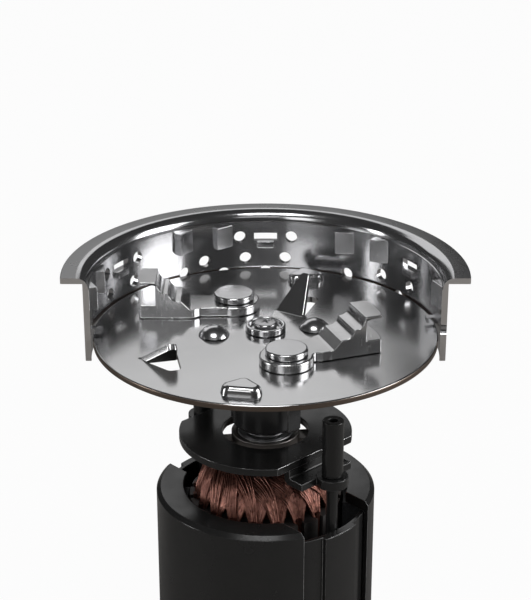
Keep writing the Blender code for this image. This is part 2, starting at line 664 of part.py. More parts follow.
def magnet(name, toward, ferrite):
    """One curved magnet on the can's inside."""
    outer, inner = CAN_IN_R - GAP, ARMATURE_R + AIR_GAP
    half = MAGNET_SPAN / 2
    outline = arc(0, 0, outer, toward - half, toward + half, 14)
    outline += arc(0, 0, inner, toward + half, toward - half, 14)
    return prism(name, outline, ARMATURE_LOW - 2 * MM, CAN_TOP_Z - 1.0 * MM, ferrite)


def field_can(black):
    """The steel can that closes the magnets' field, with a lobe over each tie rod."""
    low = CAP_T + GAP
    can = tube("field_can", CAN_IN_R, CAN_OUT_R, low, CAN_TOP_Z, black, steps=48)
    for turn in ROD_DEG:
        lobe = block("lobe", (CAN_IN_R + OVERLAP, HOUSING_R + PAST), (-LOBE_HALF, LOBE_HALF),
                     (NOTCH_LOW_Z + GAP, CAN_TOP_Z), None, turn)
        round_side = disc(Vector(), HOUSING_R - 0.4 * MM, low - PAST, CAN_TOP_Z + PAST, steps=48)
        add(can, boolean(lobe, round_side, "INTERSECT"))
    windows = [terminal_window(turn) for turn in TERMINAL_DEG]
    return cut(can, *windows)


def terminal_window(turn):
    """A cutter for the opening that a terminal comes out of."""
    return block("window", (CAN_IN_R - PAST, HOUSING_R + PAST), (-4.6 * MM, 4.6 * MM),
                 (CARD_Z + CARD_T - 0.6 * MM, CARD_Z + CARD_T + 2.6 * MM), None, turn)


def housing_shell(black):
    """The outer shell, with its thick shoulder notched open round each tie rod."""
    low = CAP_T + GAP
    edge = 1.6 * MM
    inner = HOUSING_R - HOUSING_WALL
    under = SHOULDER_Z - SHOULDER_T
    profile = [(inner, low), (HOUSING_R, low), (HOUSING_R, SHOULDER_Z - edge),
               (HOUSING_R - edge, SHOULDER_Z), (HOUSING_BORE_R, SHOULDER_Z), (HOUSING_BORE_R, under),
               (inner, under)]
    shell = turned("housing_shell", profile, black, steps=48)
    notches = [block("notch", (ARMATURE_R * 0.5, HOUSING_R + PAST), (-NOTCH_HALF, NOTCH_HALF),
                     (NOTCH_LOW_Z, SHOULDER_Z + PAST), None, turn) for turn in ROD_DEG]
    windows = [terminal_window(turn) for turn in TERMINAL_DEG]
    return cut(shell, *notches, *windows)


def base_cap(black):
    """The lower end cap, with the lower bearing's cup and the tie rods' holes."""
    cup_top = LOWER_BEARING_Z + BEARING_W
    floor = 2.6 * MM
    spigot = CAN_IN_R - GAP
    profile = [(0, 0), (HOUSING_R - 0.8 * MM, 0), (HOUSING_R, 0.8 * MM), (HOUSING_R, CAP_T),
               (spigot, CAP_T), (spigot, CAP_T + 2.0 * MM), (spigot - 2.0 * MM, CAP_T + 2.0 * MM),
               (spigot - 2.0 * MM, floor), (CUP_R, floor), (CUP_R, cup_top), (BEARING_R + GAP, cup_top),
               (BEARING_R + GAP, LOWER_BEARING_Z - GAP), (0, LOWER_BEARING_Z - GAP)]
    cap = turned("base_cap", profile, black, steps=36)
    boss_at = spigot - ROD_BOSS_R - GAP
    bosses = [disc(polar(boss_at, turn), ROD_BOSS_R, 1.0 * MM, CAP_T + 1.0 * MM) for turn in ROD_DEG]
    add(cap, *bosses)
    cut(cap, *[disc(polar(ROD_AT, turn), ROD_R + GAP, ROD_SEAT_Z - PAST, CAP_T + 2 * PAST) for turn in ROD_DEG])
    return cut(cap, *[disc(polar(ROD_AT, turn), ROD_HEAD_R + 2 * GAP, -PAST, ROD_SEAT_Z) for turn in ROD_DEG])


def brush_gear(materials):
    """The card with its two brush holders, brushes, springs and terminals."""
    low = CARD_Z
    top = low + CARD_T
    card = tube("brush_card", CUP_R + 1.0 * MM, CAN_IN_R - 2 * GAP, low, top, materials["resin"], steps=28)
    cut(card, *[disc(polar(ROD_AT, turn), ROD_R + GAP, low - PAST, top + PAST) for turn in ROD_DEG])
    made = [card]
    start = COMMUTATOR_R + GAP
    half = BRUSH_W / 2
    for side, turn in (("left", 180.0), ("right", 0.0)):
        brush = block("carbon_brush_" + side, (start, start + BRUSH_L), (-half, half),
                      (BRUSH_Z - half, BRUSH_Z + half), materials["carbon"], turn)
        box_low, box_high = top + GAP, BRUSH_Z + half + GAP + HOLDER_WALL
        reach = (start + 4.0 * MM, start + BRUSH_L + 10.0 * MM)
        wide = half + GAP + HOLDER_WALL
        holder = block("brush_holder_" + side, reach, (-wide, wide), (box_low, box_high),
                       materials["brass"], turn)
        inside = block("inside", (reach[0] - PAST, reach[1] - HOLDER_WALL), (-half - GAP, half + GAP),
                       (BRUSH_Z - half - GAP, BRUSH_Z + half + GAP), None, turn)
        cut(holder, inside)
        spring = brush_spring("brush_spring_" + side, start + BRUSH_L + GAP + 0.4 * MM,
                              reach[1] - HOLDER_WALL - GAP - 0.4 * MM, turn, materials["steel"])
        blade = block("terminal_" + side, (reach[1] + 2.0 * MM, HOUSING_R + 6.5 * MM), (-3.15 * MM, 3.15 * MM),
                      (top + GAP, top + GAP + 0.8 * MM), materials["brass"], OUT_DEG + 90.0 + turn)
        made += [brush, holder, spring, blade]
    return made


def brush_spring(name, start, end, turn, steel):
    """A coil spring between a brush and the closed end of its holder."""
    curve = bpy.data.curves.new(name, "CURVE")
    curve.dimensions = "3D"
    curve.bevel_depth = 0.32 * MM
    curve.bevel_resolution = 1
    curve.use_fill_caps = True
    spline = curve.splines.new("POLY")
    turns = 3
    per_turn = 7
    radius = BRUSH_W / 2 - 0.75 * MM
    count = turns * per_turn + 1
    spline.points.add(count - 1)
    for i, point in enumerate(spline.points):
        a = math.tau * i / per_turn
        x = start + (end - start) * i / (count - 1)
        at = Matrix.Rotation(math.radians(turn), 3, "Z") @ Vector((x, radius * math.cos(a), radius * math.sin(a)))
        point.co = (at.x, at.y, BRUSH_Z + at.z, 1.0)
    curve.materials.append(steel)
    obj = bpy.data.objects.new(name, curve)
    bpy.context.collection.objects.link(obj)
    return obj


# ---------------------------------------------------------------- bracket and rods

def bracket_foot(turn):
    """One side's web and foot, bent from the plate, and the raised ear that the post stands on."""
    under = BRACKET_TOP_Z - BRACKET_T
    foot_under = FOOT_TOP_Z - BRACKET_T
    outer = CHORD_AT - BEND_STEP
    side = [(outer - BRACKET_T, foot_under), (BRACKET_R, foot_under), (BRACKET_R, FOOT_TOP_Z),
            (outer, FOOT_TOP_Z), (outer, under + OVERLAP), (outer - BRACKET_T, under + OVERLAP)]
    foot = prism("foot", side, -FOOT_HALF, FOOT_HALF, None)
    foot.data.transform(Matrix.Rotation(math.radians(90), 4, "X"))
    ear = disc(Vector((ROD_AT, 0, 0)), EAR_R, foot_under - EAR_SEAT, FOOT_TOP_Z + EAR_SEAT)
    return moved(foot, turn=turn), moved(ear, turn=turn)


def top_bracket(black):
    """The bridge plate: a raised disc, a step down on two sides, and a foot with an ear on each."""
    under = BRACKET_TOP_Z - BRACKET_T
    plate = tube("top_bracket", BRACKET_BORE_R, BRACKET_R, under, BRACKET_TOP_Z, black, steps=40)
    trims = [block("trim", (CHORD_AT, BRACKET_R + PAST), (-BRACKET_R, BRACKET_R),
                   (under - PAST, BRACKET_TOP_Z + PAST), None, turn) for turn in ROD_DEG]
    cut(plate, *trims)
    for turn in ROD_DEG:
        add(plate, *bracket_foot(turn))
    holes = [disc(polar(ROD_AT, turn), ROD_END_R + GAP, FOOT_TOP_Z - BRACKET_T - PAST, FOOT_TOP_Z + PAST)
             for turn in ROD_DEG]
    screws = [disc(polar(SPIDER_AT, turn), SPIDER_SCREW_R + GAP, under - PAST, under + 2.0 * MM, steps=16)
              for turn in SPIDER_DEG]
    return cut(plate, *holes, *screws)


def bearing_spider(zinc):
    """The cup of the upper bearing, with two arms under the bracket."""
    low = UPPER_BEARING_Z
    high = low + BEARING_W
    profile = [(BEARING_R - 1.2 * MM, low - GAP - 1.0 * MM), (CUP_R, low - GAP - 1.0 * MM), (CUP_R, high),
               (BEARING_R + GAP, high), (BEARING_R + GAP, low - GAP), (BEARING_R - 1.2 * MM, low - GAP)]
    cup = turned("bearing_spider", profile, zinc, steps=24)
    arm_top = BRACKET_TOP_Z - BRACKET_T - GAP
    for turn in SPIDER_DEG:
        arm = block("arm", (BEARING_R + GAP + 0.8 * MM, SPIDER_AT + 3.2 * MM), (-4.0 * MM, 4.0 * MM),
                    (arm_top - 2.0 * MM, arm_top), None, turn)
        add(cup, arm)
    return cut(cup, *[disc(polar(SPIDER_AT, turn), SPIDER_SCREW_R + GAP, arm_top - 2.0 * MM - PAST,
                           arm_top + PAST, steps=16) for turn in SPIDER_DEG])


def spider_screw(name, turn, steel):
    """A pan-head screw that holds one arm of the spider to the bracket."""
    seat = BRACKET_TOP_Z - BRACKET_T - 2 * GAP - 2.0 * MM
    profile = [(0, seat - 1.6 * MM), (1.9 * MM, seat - 1.6 * MM), (2.4 * MM, seat - 1.0 * MM), (2.4 * MM, seat),
               (SPIDER_SCREW_R, seat), (SPIDER_SCREW_R, seat + 3.8 * MM), (0, seat + 3.8 * MM)]
    return moved(turned(name, profile, steel, steps=12), polar(SPIDER_AT, turn))


def standoff_post(name, turn, black):
    """A post on the bracket's ear, open at both ends for a screw."""
    low, high = EAR_TOP_Z + GAP, EAR_TOP_Z + GAP + POST_H
    hole, thread, edge = 1.75 * MM, ROD_END_R + GAP, 0.4 * MM
    profile = [(thread, low), (POST_R, low), (POST_R, high - edge), (POST_R - edge, high), (hole, high),
               (hole, high - 9 * MM), (0, high - 9 * MM), (0, low + 9 * MM), (thread, low + 9 * MM)]
    return moved(turned(name, profile, black, steps=20), polar(ROD_AT, turn))


def tie_rod(name, turn, steel):
    """A shouldered rod from the base cap up through the bracket's ear into the post."""
    shoulder = EAR_UNDER_Z - GAP
    end = EAR_TOP_Z + 8 * MM
    head_top = ROD_SEAT_Z - GAP
    rod = turned(name, [(0, head_top - OVERLAP), (ROD_R, head_top - OVERLAP), (ROD_R, shoulder),
                        (ROD_END_R, shoulder), (ROD_END_R, end), (0, end)], steel, steps=14)
    head = prism("head", arc(0, 0, ROD_HEAD_R, 0.0, 300.0, 5), 0.7 * MM, head_top, None)
    for piece in (rod, head):
        moved(piece, polar(ROD_AT, turn))
    return add(rod, head)


# ---------------------------------------------------------------- assembly

def spindle():
    """An empty on the shaft's axis that everything turning hangs from."""
    empty = bpy.data.objects.new("rotor_axis", None)
    bpy.context.collection.objects.link(empty)
    return empty


def main():
    """Build every piece and hang what turns on its axis."""
    for obj in list(bpy.data.objects):
        bpy.data.objects.remove(obj)
    steel = material("polished_steel", (0.62, 0.62, 0.64), 0.16, 1.0)
    ground = material("ground_steel", (0.55, 0.55, 0.56), 0.35, 1.0)
    black = material("black_enamel", (0.012, 0.012, 0.013), 0.38, 0.0)
    copper = material("enamelled_copper", (0.30, 0.12, 0.08), 0.35, 0.8)
    brass = material("brass", (0.65, 0.48, 0.22), 0.35, 1.0)
    iron = material("lamination_iron", (0.16, 0.16, 0.17), 0.5, 0.8)
    ferrite = material("ferrite", (0.05, 0.05, 0.055), 0.7, 0.0)
    resin = material("resin_board", (0.28, 0.19, 0.10), 0.6, 0.0)
    carbon = material("carbon", (0.03, 0.03, 0.03), 0.6, 0.1)
    zinc = material("zinc", (0.45, 0.46, 0.48), 0.4, 1.0)

    grind_ring(steel)
    housing_shell(black)
    field_can(black)
    for side, turn in zip(("right", "left"), TERMINAL_DEG):
        magnet("magnet_" + side, turn, ferrite)
    base_cap(black)
    top_bracket(black)
    bearing_spider(zinc)
    brush_gear({"resin": resin, "carbon": carbon, "brass": brass, "steel": ground})
    for side, turn in zip(("front", "rear"), ROD_DEG):
        standoff_post("standoff_post_" + side, turn, black)
        tie_rod("tie_rod_" + side, turn, ground)
    for side, turn in zip(("right", "left"), SPIDER_DEG):
        spider_screw("spider_screw_" + side, turn, ground)
    upper_outer, upper_inner = bearing("upper_bearing", UPPER_BEARING_Z, ground)
    lower_outer, lower_inner = bearing("lower_bearing", LOWER_BEARING_Z, ground)

    axis = spindle()
    turning = [turntable(steel), clamp_washer(steel), clamp_screw(steel), turntable_hub(black),
               rotor_shaft(ground), armature_core(iron), armature_winding(copper),
               insulator("winding_insulator_top", ARMATURE_TOP_Z + GAP, resin),
               insulator("winding_insulator_bottom", ARMATURE_LOW - GAP - 0.4 * MM, resin),
               commutator(copper), upper_inner, lower_inner,
               tube("oil_slinger", SHAFT_R + GAP, 8.6 * MM, HUB_LOW_Z - 1.8 * MM, HUB_LOW_Z - GAP, ground,
                    steps=32),
               lug_pin("lug_pin_front", FRONT_PIVOT, steel), lug_pin("lug_pin_rear", REAR_PIVOT, steel),
               stop_rivet("stop_rivet_left", LEFT_STOP, steel),
               stop_rivet("stop_rivet_right", RIGHT_STOP, steel)]
    for obj in turning:
        obj.parent = axis
    for name, pivot, degrees in (("lug_front", FRONT_PIVOT, FRONT_LUG_DEG), ("lug_rear", REAR_PIVOT, REAR_LUG_DEG)):
        pin_axis = bpy.data.objects.new(name + "_axis", None)
        bpy.context.collection.objects.link(pin_axis)
        pin_axis.parent = axis
        pin_axis.location = pivot
        piece = lug(name, pivot, degrees, steel)
        piece.parent = pin_axis
        piece.matrix_parent_inverse = Matrix.Translation(-pivot)


main()
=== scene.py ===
"""Looks of a food waste disposer's grinding mechanism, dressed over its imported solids.

Each sub-assembly is a class: its fields are its sizes in metres, and its methods model
the fine pieces, dress them and hang them on the body that they move with.
"""
from __future__ import annotations

import logging
import math
import random
from dataclasses import dataclass
from enum import Enum
from typing import Callable, Iterable

import bpy
from mathutils import Matrix, Vector

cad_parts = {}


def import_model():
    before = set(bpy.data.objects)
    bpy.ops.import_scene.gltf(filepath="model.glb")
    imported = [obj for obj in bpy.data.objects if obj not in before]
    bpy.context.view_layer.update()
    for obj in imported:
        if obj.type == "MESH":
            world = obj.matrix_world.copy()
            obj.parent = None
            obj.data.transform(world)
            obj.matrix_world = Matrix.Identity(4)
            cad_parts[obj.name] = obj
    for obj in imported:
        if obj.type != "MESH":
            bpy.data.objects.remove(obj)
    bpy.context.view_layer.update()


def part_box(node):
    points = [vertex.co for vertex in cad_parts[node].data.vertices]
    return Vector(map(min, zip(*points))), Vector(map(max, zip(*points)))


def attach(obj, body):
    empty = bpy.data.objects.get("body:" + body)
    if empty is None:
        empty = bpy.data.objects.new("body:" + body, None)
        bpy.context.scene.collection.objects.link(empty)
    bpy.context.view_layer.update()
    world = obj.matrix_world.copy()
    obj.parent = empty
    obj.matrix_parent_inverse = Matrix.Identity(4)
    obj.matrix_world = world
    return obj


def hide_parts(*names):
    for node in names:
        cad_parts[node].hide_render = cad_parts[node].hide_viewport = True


log = logging.getLogger("grinding_mechanism")

MM = 0.001
GAP = 0.3 * MM  # the air between two fitted pieces
PAST = 2.0 * MM  # how far a cutter runs past what it cuts
SINK = 0.4 * MM  # how far a joined piece is sunk into its neighbour
SHAFT = 4.0 * MM  # the shaft's radius
PIN = 4.0 * MM  # a lug pin's radius
RIVET = 2.5 * MM  # a stop rivet's shank radius
SCREW = 2.0 * MM  # the middle screw's shank radius
BEARING = 11.0 * MM  # the outer radius of both ball bearings
ROD_SIDES = (-46.5, 133.5)  # the directions of the front and the rear tie rod, in degrees

Piece = bpy.types.Object
Material = bpy.types.Material
Node = bpy.types.Node
Socket = bpy.types.NodeSocket
Tree = bpy.types.NodeTree
Point = tuple[float, float]
Corner = tuple[float, float, float]
Colour = tuple[float, float, float]


# ------------------------------------------------------------------ modelling by hand

def deselect() -> None:
    """Leave edit mode and select nothing."""
    if bpy.context.object and bpy.context.object.mode != "OBJECT":
        bpy.ops.object.mode_set(mode="OBJECT")
    bpy.ops.object.select_all(action="DESELECT")


def focus(piece: Piece) -> None:
    """Select one piece alone and make it active."""
    deselect()
    piece.select_set(True)
    bpy.context.view_layer.objects.active = piece


def edit(piece: Piece) -> None:
    """Open a piece in edit mode with all of it selected."""
    focus(piece)
    bpy.ops.object.mode_set(mode="EDIT")
    bpy.ops.mesh.select_all(action="SELECT")


def close(piece: Piece) -> Piece:
    """Merge doubled points, turn the faces out and leave edit mode.

    Args:
        piece: the piece that is open in edit mode.

    Returns:
        The same piece.
    """
    bpy.ops.mesh.select_all(action="SELECT")
    bpy.ops.mesh.remove_doubles(threshold=2e-6)
    bpy.ops.mesh.delete_loose()
    bpy.ops.mesh.select_all(action="SELECT")
    bpy.ops.mesh.normals_make_consistent(inside=False)
    bpy.ops.object.mode_set(mode="OBJECT")
    return piece


def rounded(corners: Iterable[Corner], steps: int = 4) -> list[Point]:
    """Round the corners of a closed outline.

    Args:
        corners: each corner's two coordinates and the radius it is rounded to.
        steps: the number of straight bits in each rounding.

    Returns:
        The outline's points, in order.
    """
    corners = list(corners)
    points: list[Point] = []
    for i, (x, y, radius) in enumerate(corners):
        here = Vector((x, y))
        back = (Vector(corners[i - 1][:2]) - here).normalized()
        on = (Vector(corners[(i + 1) % len(corners)][:2]) - here).normalized()
        if radius <= 0.0 or (back + on).length < 1e-4:
            points.append((x, y))
            continue
        half = back.angle(on) / 2
        centre = here + (back + on).normalized() * (radius / math.sin(half))
        first = here + back * (radius / math.tan(half)) - centre
        last = here + on * (radius / math.tan(half)) - centre
        start = math.atan2(first.y, first.x)
        sweep = (math.atan2(last.y, last.x) - start + math.pi) % math.tau - math.pi
        for k in range(steps + 1):
            a = start + sweep * k / steps
            points.append((centre.x + radius * math.cos(a), centre.y + radius * math.sin(a)))
    return points


def arc(cx: float, cy: float, radius: float, start: float, end: float, steps: int) -> list[Point]:
    """Points along an arc.

    Args:
        cx: the centre's first coordinate.
        cy: the centre's second coordinate.
        radius: the arc's radius.
        start: the first point's angle in degrees.
        end: the last point's angle in degrees.
        steps: the number of straight bits.

    Returns:
        The points, first to last.
    """
    angles = [math.radians(start + (end - start) * i / steps) for i in range(steps + 1)]
    return [(cx + radius * math.cos(a), cy + radius * math.sin(a)) for a in angles]


def loop(name: str, points: list[Point], upright: bool = False) -> Piece:
    """Add a circle with one vertex per point and draw it out into an outline.

    Args:
        name: the new piece's name.
        points: the outline, in plan, or in section where it is upright.
        upright: whether the second coordinate is the height.

    Returns:
        The outline, as a piece made of edges alone.
    """
    deselect()
    bpy.ops.mesh.primitive_circle_add(vertices=len(points), radius=1.0, fill_type="NOTHING")
    piece = bpy.context.object
    piece.name = name
    piece.data.name = name
    for vertex, (a, b) in zip(piece.data.vertices, points):
        vertex.co = (a, 0.0, b) if upright else (a, b, 0.0)
    return piece


def lathe(name: str, points: list[Point], steps: int = 96) -> Piece:
    """Spin a closed half section of (radius, height) points about the vertical axis.

    Args:
        name: the new piece's name.
        points: the half section, in order round it.
        steps: the number of flats round the piece.

    Returns:
        The turned piece.
    """
    piece = loop(name, points, upright=True)
    edit(piece)
    bpy.ops.mesh.spin(steps=steps, angle=math.tau, center=(0, 0, 0), axis=(0, 0, 1))
    return close(piece)


def slab(name: str, points: list[Point], low: float, high: float) -> Piece:
    """Extrude a plan outline upwards.

    Args:
        name: the new piece's name.
        points: the outline in plan.
        low: the height of its underside.
        high: the height of its top.

    Returns:
        The slab.
    """
    piece = loop(name, points)
    edit(piece)
    bpy.ops.mesh.edge_face_add()
    bpy.ops.transform.translate(value=(0, 0, low))
    bpy.ops.mesh.extrude_region_move(TRANSFORM_OT_translate={"value": (0, 0, high - low)})
    return close(piece)


def brick(name: str, x: Point, y: Point, z: Point) -> Piece:
    """A straight block between two values on each axis."""
    return slab(name, [(x[0], y[0]), (x[1], y[0]), (x[1], y[1]), (x[0], y[1])], z[0], z[1])


def drum(name: str, at: Vector, radius: float, low: float, high: float, steps: int = 48) -> Piece:
    """An upright cylinder at a place."""
    return slab(name, arc(at.x, at.y, radius, 0.0, 360.0 - 360.0 / steps, steps - 1), low, high)


def through(name: str, at: Vector, radius: float, low: float, high: float, steps: int = 48) -> Piece:
    """A cylinder that runs past both levels, to cut a hole with."""
    return drum(name, at, radius, low - PAST, high + PAST, steps)


def place(piece: Piece, at: Vector | None = None, turn: float = 0.0, tilt: float = 0.0) -> Piece:
    """Tilt a piece about X, turn it about Z, shift it, and leave that in its mesh.

    Args:
        piece: the piece to move.
        at: how far it is shifted.
        turn: degrees about the vertical axis.
        tilt: degrees about X, before the turn.

    Returns:
        The same piece.
    """
    focus(piece)
    piece.rotation_euler = (math.radians(tilt), 0.0, math.radians(turn))
    piece.location = at or Vector()
    bpy.ops.object.transform_apply(location=True, rotation=True, scale=True)
    return piece


def apply(piece: Piece, kind: str, **settings: object) -> Piece:
    """Give a piece one modifier and apply it.

    Args:
        piece: the piece to change.
        kind: the modifier's type.
        settings: the modifier's own settings.

    Returns:
        The same piece.
    """
    focus(piece)
    modifier = piece.modifiers.new(kind.lower(), kind)
    for key, value in settings.items():
        setattr(modifier, key, value)
    bpy.ops.object.modifier_apply(modifier=modifier.name)
    return piece


def soften(piece: Piece, width: float, segments: int = 2, angle: float = 32.0) -> Piece:
    """Bevel every edge that is sharper than an angle in degrees."""
    return apply(piece, "BEVEL", width=width, segments=segments, limit_method="ANGLE",
                 angle_limit=math.radians(angle), use_clamp_overlap=True)


def combine(piece: Piece, others: Iterable[Piece], operation: str) -> Piece:
    """Join pieces to a piece, or cut them out of it, one after another.

    Args:
        piece: the piece that stays.
        others: the pieces that are used up.
        operation: UNION, DIFFERENCE or INTERSECT.

    Returns:
        The piece that stays.
    """
    for other in others:
        apply(piece, "BOOLEAN", operation=operation, object=other, solver="EXACT")
        bpy.data.objects.remove(other)
    return piece


def gather(name: str, pieces: list[Piece]) -> Piece:
    """Join pieces that don't touch into one object."""
    focus(pieces[0])
    for piece in pieces:
        piece.select_set(True)
    bpy.ops.object.join()
    joined = bpy.context.object
    joined.name = name
    return joined


def polar(radius: float, degrees: float, height: float = 0.0) -> Vector:
    """A point at a radius and an angle about the shaft."""
    a = math.radians(degrees)
    return Vector((radius * math.cos(a), radius * math.sin(a), height))


def middle_of(node: str) -> Vector:
    """The middle of a solid's box in plan."""
    low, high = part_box(node)
    return Vector(((low[0] + high[0]) / 2, (low[1] + high[1]) / 2, 0.0))


def levels(node: str) -> Point:
    """The heights of a solid's underside and top."""
    low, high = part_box(node)
    return low[2], high[2]


class Body(Enum):
    """The bodies that the mechanism moves as."""

    FRAME = "motor_frame"
    ROTOR = "rotor"
    FRONT_LUG = "front_lug"
    REAR_LUG = "rear_lug"


def hand_over(piece: Piece, finish: Material, body: Body, nodes: Iterable[str] = (),
              smooth: float = 34.0, level: bool = True) -> None:
    """Dress a finished piece and hang it on its body.

    Args:
        piece: the finished piece.
        finish: its material.
        body: the body that it moves with.
        nodes: the solids that it stands for.
        smooth: the sharpest angle in degrees that is still shaded smooth.
        level: whether flat faces keep a level shading beside their rounded edges.
    """
    focus(piece)
    piece.data.materials.clear()
    piece.data.materials.append(finish)
    bpy.ops.object.shade_smooth_by_angle(angle=math.radians(smooth))
    if level:
        apply(piece, "WEIGHTED_NORMAL", keep_sharp=True)
    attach(piece, body.value)
    if nodes:
        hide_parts(*nodes)
    log.info("%s: %d faces", piece.name, len(piece.data.polygons))


def dress_faces(piece: Piece, finish: Material, chosen: Callable[[bpy.types.MeshPolygon], bool],
                flat: bool = False) -> None:
    """Give some faces of a piece a finish of their own.

    Args:
        piece: the piece, which already has its main finish.
        finish: the other material.
        chosen: tells whether a face gets it.
        flat: whether those faces are also shaded flat.
    """
    piece.data.materials.append(finish)
    for face in piece.data.polygons:
        if chosen(face):
            face.material_index = len(piece.data.materials) - 1
            face.use_smooth = face.use_smooth and not flat


# ------------------------------------------------------------------ finishes

class Net:
    """A node tree that is being wired."""

    def __init__(self, tree: bpy.types.NodeTree) -> None:
        """Keep the tree that the nodes go into."""
        self.tree = tree

    def add(self, kind: str, inputs: dict[str | int, object] | None = None, **settings: object) -> Node:
        """Add a node.

        Args:
            kind: the node's type, without its leading words.
            inputs: values for its sockets, or the sockets that feed them.
            settings: the node's own settings.

        Returns:
            The new node.
        """
        node = self.tree.nodes.new("ShaderNode" + kind)
        for key, value in settings.items():
            setattr(node, key, value)
        return self.feed(node, inputs or {})

    def feed(self, node: Node, inputs: dict[str | int, object]) -> Node:
        """Set a node's sockets to values, or link them to the sockets that feed them."""
        for key, value in inputs.items():
            if isinstance(value, Socket):
                self.tree.links.new(value, node.inputs[key])
            else:
                node.inputs[key].default_value = value
        return node

    def maths(self, operation: str, first: object, second: object = 0.0) -> Socket:
        """A sum on two values or sockets, and its result."""
        return self.add("Math", {0: first, 1: second}, operation=operation).outputs[0]

    def between(self, value: object, source: Point, target: tuple[object, object]) -> Socket:
        """A value brought from one range into another, held at its ends."""
        return self.add("MapRange", {"Value": value, "From Min": source[0], "From Max": source[1],
                                     "To Min": target[0], "To Max": target[1]}, clamp=True).outputs[0]

    def where(self) -> Socket:
        """Object coordinates."""
        return self.add("TexCoord").outputs["Object"]

    def stretched(self, scale: Corner, turn: float = 0.0) -> Socket:
        """Object coordinates, turned about Z and stretched."""
        inputs = {"Vector": self.where(), "Rotation": (0.0, 0.0, turn), "Scale": scale}
        return self.add("Mapping", inputs).outputs[0]

    def noise(self, vector: object, scale: object, detail: float = 3.0, rough: float = 0.55) -> Socket:
        """Noise at a place, from 0 to 1."""
        inputs = {"Vector": vector, "Scale": scale, "Detail": detail, "Roughness": rough}
        return self.add("TexNoise", inputs).outputs[0]

    def grain(self, scale: Corner, detail: float = 2.0, turn: float = 0.0) -> Socket:
        """Noise over the piece, with its own scale along each axis."""
        return self.noise(self.stretched(scale, turn), 1.0, detail)


def new_group(name: str, inputs: dict[str, float], outputs: Iterable[str]) -> tuple[Net, Net]:
    """Start a node group.

    Args:
        name: the group's name.
        inputs: its inputs and their usual values.
        outputs: its outputs.

    Returns:
        The group's input node and its output node, each with its net.
    """
    tree = bpy.data.node_groups.new(name, "ShaderNodeTree")
    kind = "NodeSocketFloat"
    for key, value in inputs.items():
        tree.interface.new_socket(name=key, in_out="INPUT", socket_type=kind).default_value = value
    for key in outputs:
        tree.interface.new_socket(name=key, in_out="OUTPUT", socket_type=kind)
    net = Net(tree)
    return net, (tree.nodes.new("NodeGroupInput"), tree.nodes.new("NodeGroupOutput"))


def scuff_group() -> Tree:
    """Fine straight scratches in patches: a mask of how scratched each place is."""
    net, (given, result) = new_group("fine_scuffs", {"Density": 0.5}, ["Mask"])
    limit = net.maths("SUBTRACT", 0.74, net.maths("MULTIPLY", given.outputs["Density"], 0.14))
    found: object = 0.0
    for turn, scale in ((0.4, (5200.0, 120.0, 300.0)), (1.7, (4300.0, 90.0, 260.0)),
                        (2.6, (160.0, 6100.0, 240.0))):
        line = net.maths("GREATER_THAN", net.grain(scale, 1.0, turn), limit)
        found = net.maths("MAXIMUM", found, line)
    patch = net.between(net.grain((60.0, 60.0, 60.0)), (0.42, 0.62), (0.0, 1.0))
    net.feed(result, {"Mask": net.maths("MULTIPLY", found, patch)})
    return net.tree


def smudge_group() -> Tree:
    """A soft, cloudy value between two others, as of handling and polishing."""
    net, (given, result) = new_group("soft_smudges", {"Scale": 40.0, "Low": 0.1, "High": 0.3}, ["Value"])
    cloud = net.noise(net.where(), given.outputs["Scale"], 5.0, 0.6)
    ends = given.outputs["Low"], given.outputs["High"]
    net.feed(result, {"Value": net.between(cloud, (0.32, 0.68), ends)})
    return net.tree


def turning_group() -> Tree:
    """Concentric tool marks about the shaft: a height."""
    net, (given, result) = new_group("turning_marks", {"Pitch": 4000.0}, ["Height"])
    x, y, z = net.add("SeparateXYZ", {0: net.where()}).outputs
    radius = net.maths("SQRT", net.maths("ADD", net.maths("MULTIPLY", x, x), net.maths("MULTIPLY", y, y)))
    point = net.add("CombineXYZ", {0: radius, 1: net.maths("MULTIPLY", z, 0.3)}).outputs[0]
    net.feed(result, {"Height": net.noise(point, given.outputs["Pitch"], 2.0)})
    return net.tree


def wear_group() -> Tree:
    """Rubbed edges: a mask that is 1 along sharp edges, broken up as by handling."""
    net, (given, result) = new_group("rubbed_edges", {"Amount": 0.5}, ["Mask"])
    rounded_off = net.add("Bevel", {"Radius": 0.35 * MM}, samples=6).outputs["Normal"]
    plain = net.add("NewGeometry").outputs["Normal"]
    facing = net.add("VectorMath", {0: rounded_off, 1: plain}, operation="DOT_PRODUCT").outputs["Value"]
    edge = net.between(facing, (0.985, 0.92), (0.0, 1.0))
    broken = net.between(net.grain((500.0, 500.0, 500.0), 3.0), (0.3, 0.6), (0.25, 1.0))
    mask = net.maths("MULTIPLY", net.maths("MULTIPLY", edge, broken), given.outputs["Amount"])
    net.feed(result, {"Mask": mask})
    return net.tree


class Effects:
    """The node groups that several finishes share, each built once."""

    def __init__(self) -> None:
        """Build every group."""
        self.scuffs = scuff_group()
        self.smudges = smudge_group()
        self.turning = turning_group()
        self.wear = wear_group()

    def use(self, net: Net, tree: Tree, **values: float) -> Socket:
        """Place a group in a material and give its first output."""
        node = net.tree.nodes.new("ShaderNodeGroup")
        node.node_tree = tree
        return net.feed(node, {key.capitalize(): value for key, value in values.items()}).outputs[0]

    def smudged(self, net: Net, scale: float, low: float, high: float) -> Socket:
        """A cloudy value between two others."""
        return self.use(net, self.smudges, scale=scale, low=low, high=high)


def blend(net: Net, colour: Colour | Socket, other: Colour, mask: object) -> Socket:
    """Two colours mixed by a mask."""
    first = colour if isinstance(colour, Socket) else (*colour, 1.0)
    return net.add("Mix", {0: mask, 6: first, 7: (*other, 1.0)}, data_type="RGBA").outputs[2]


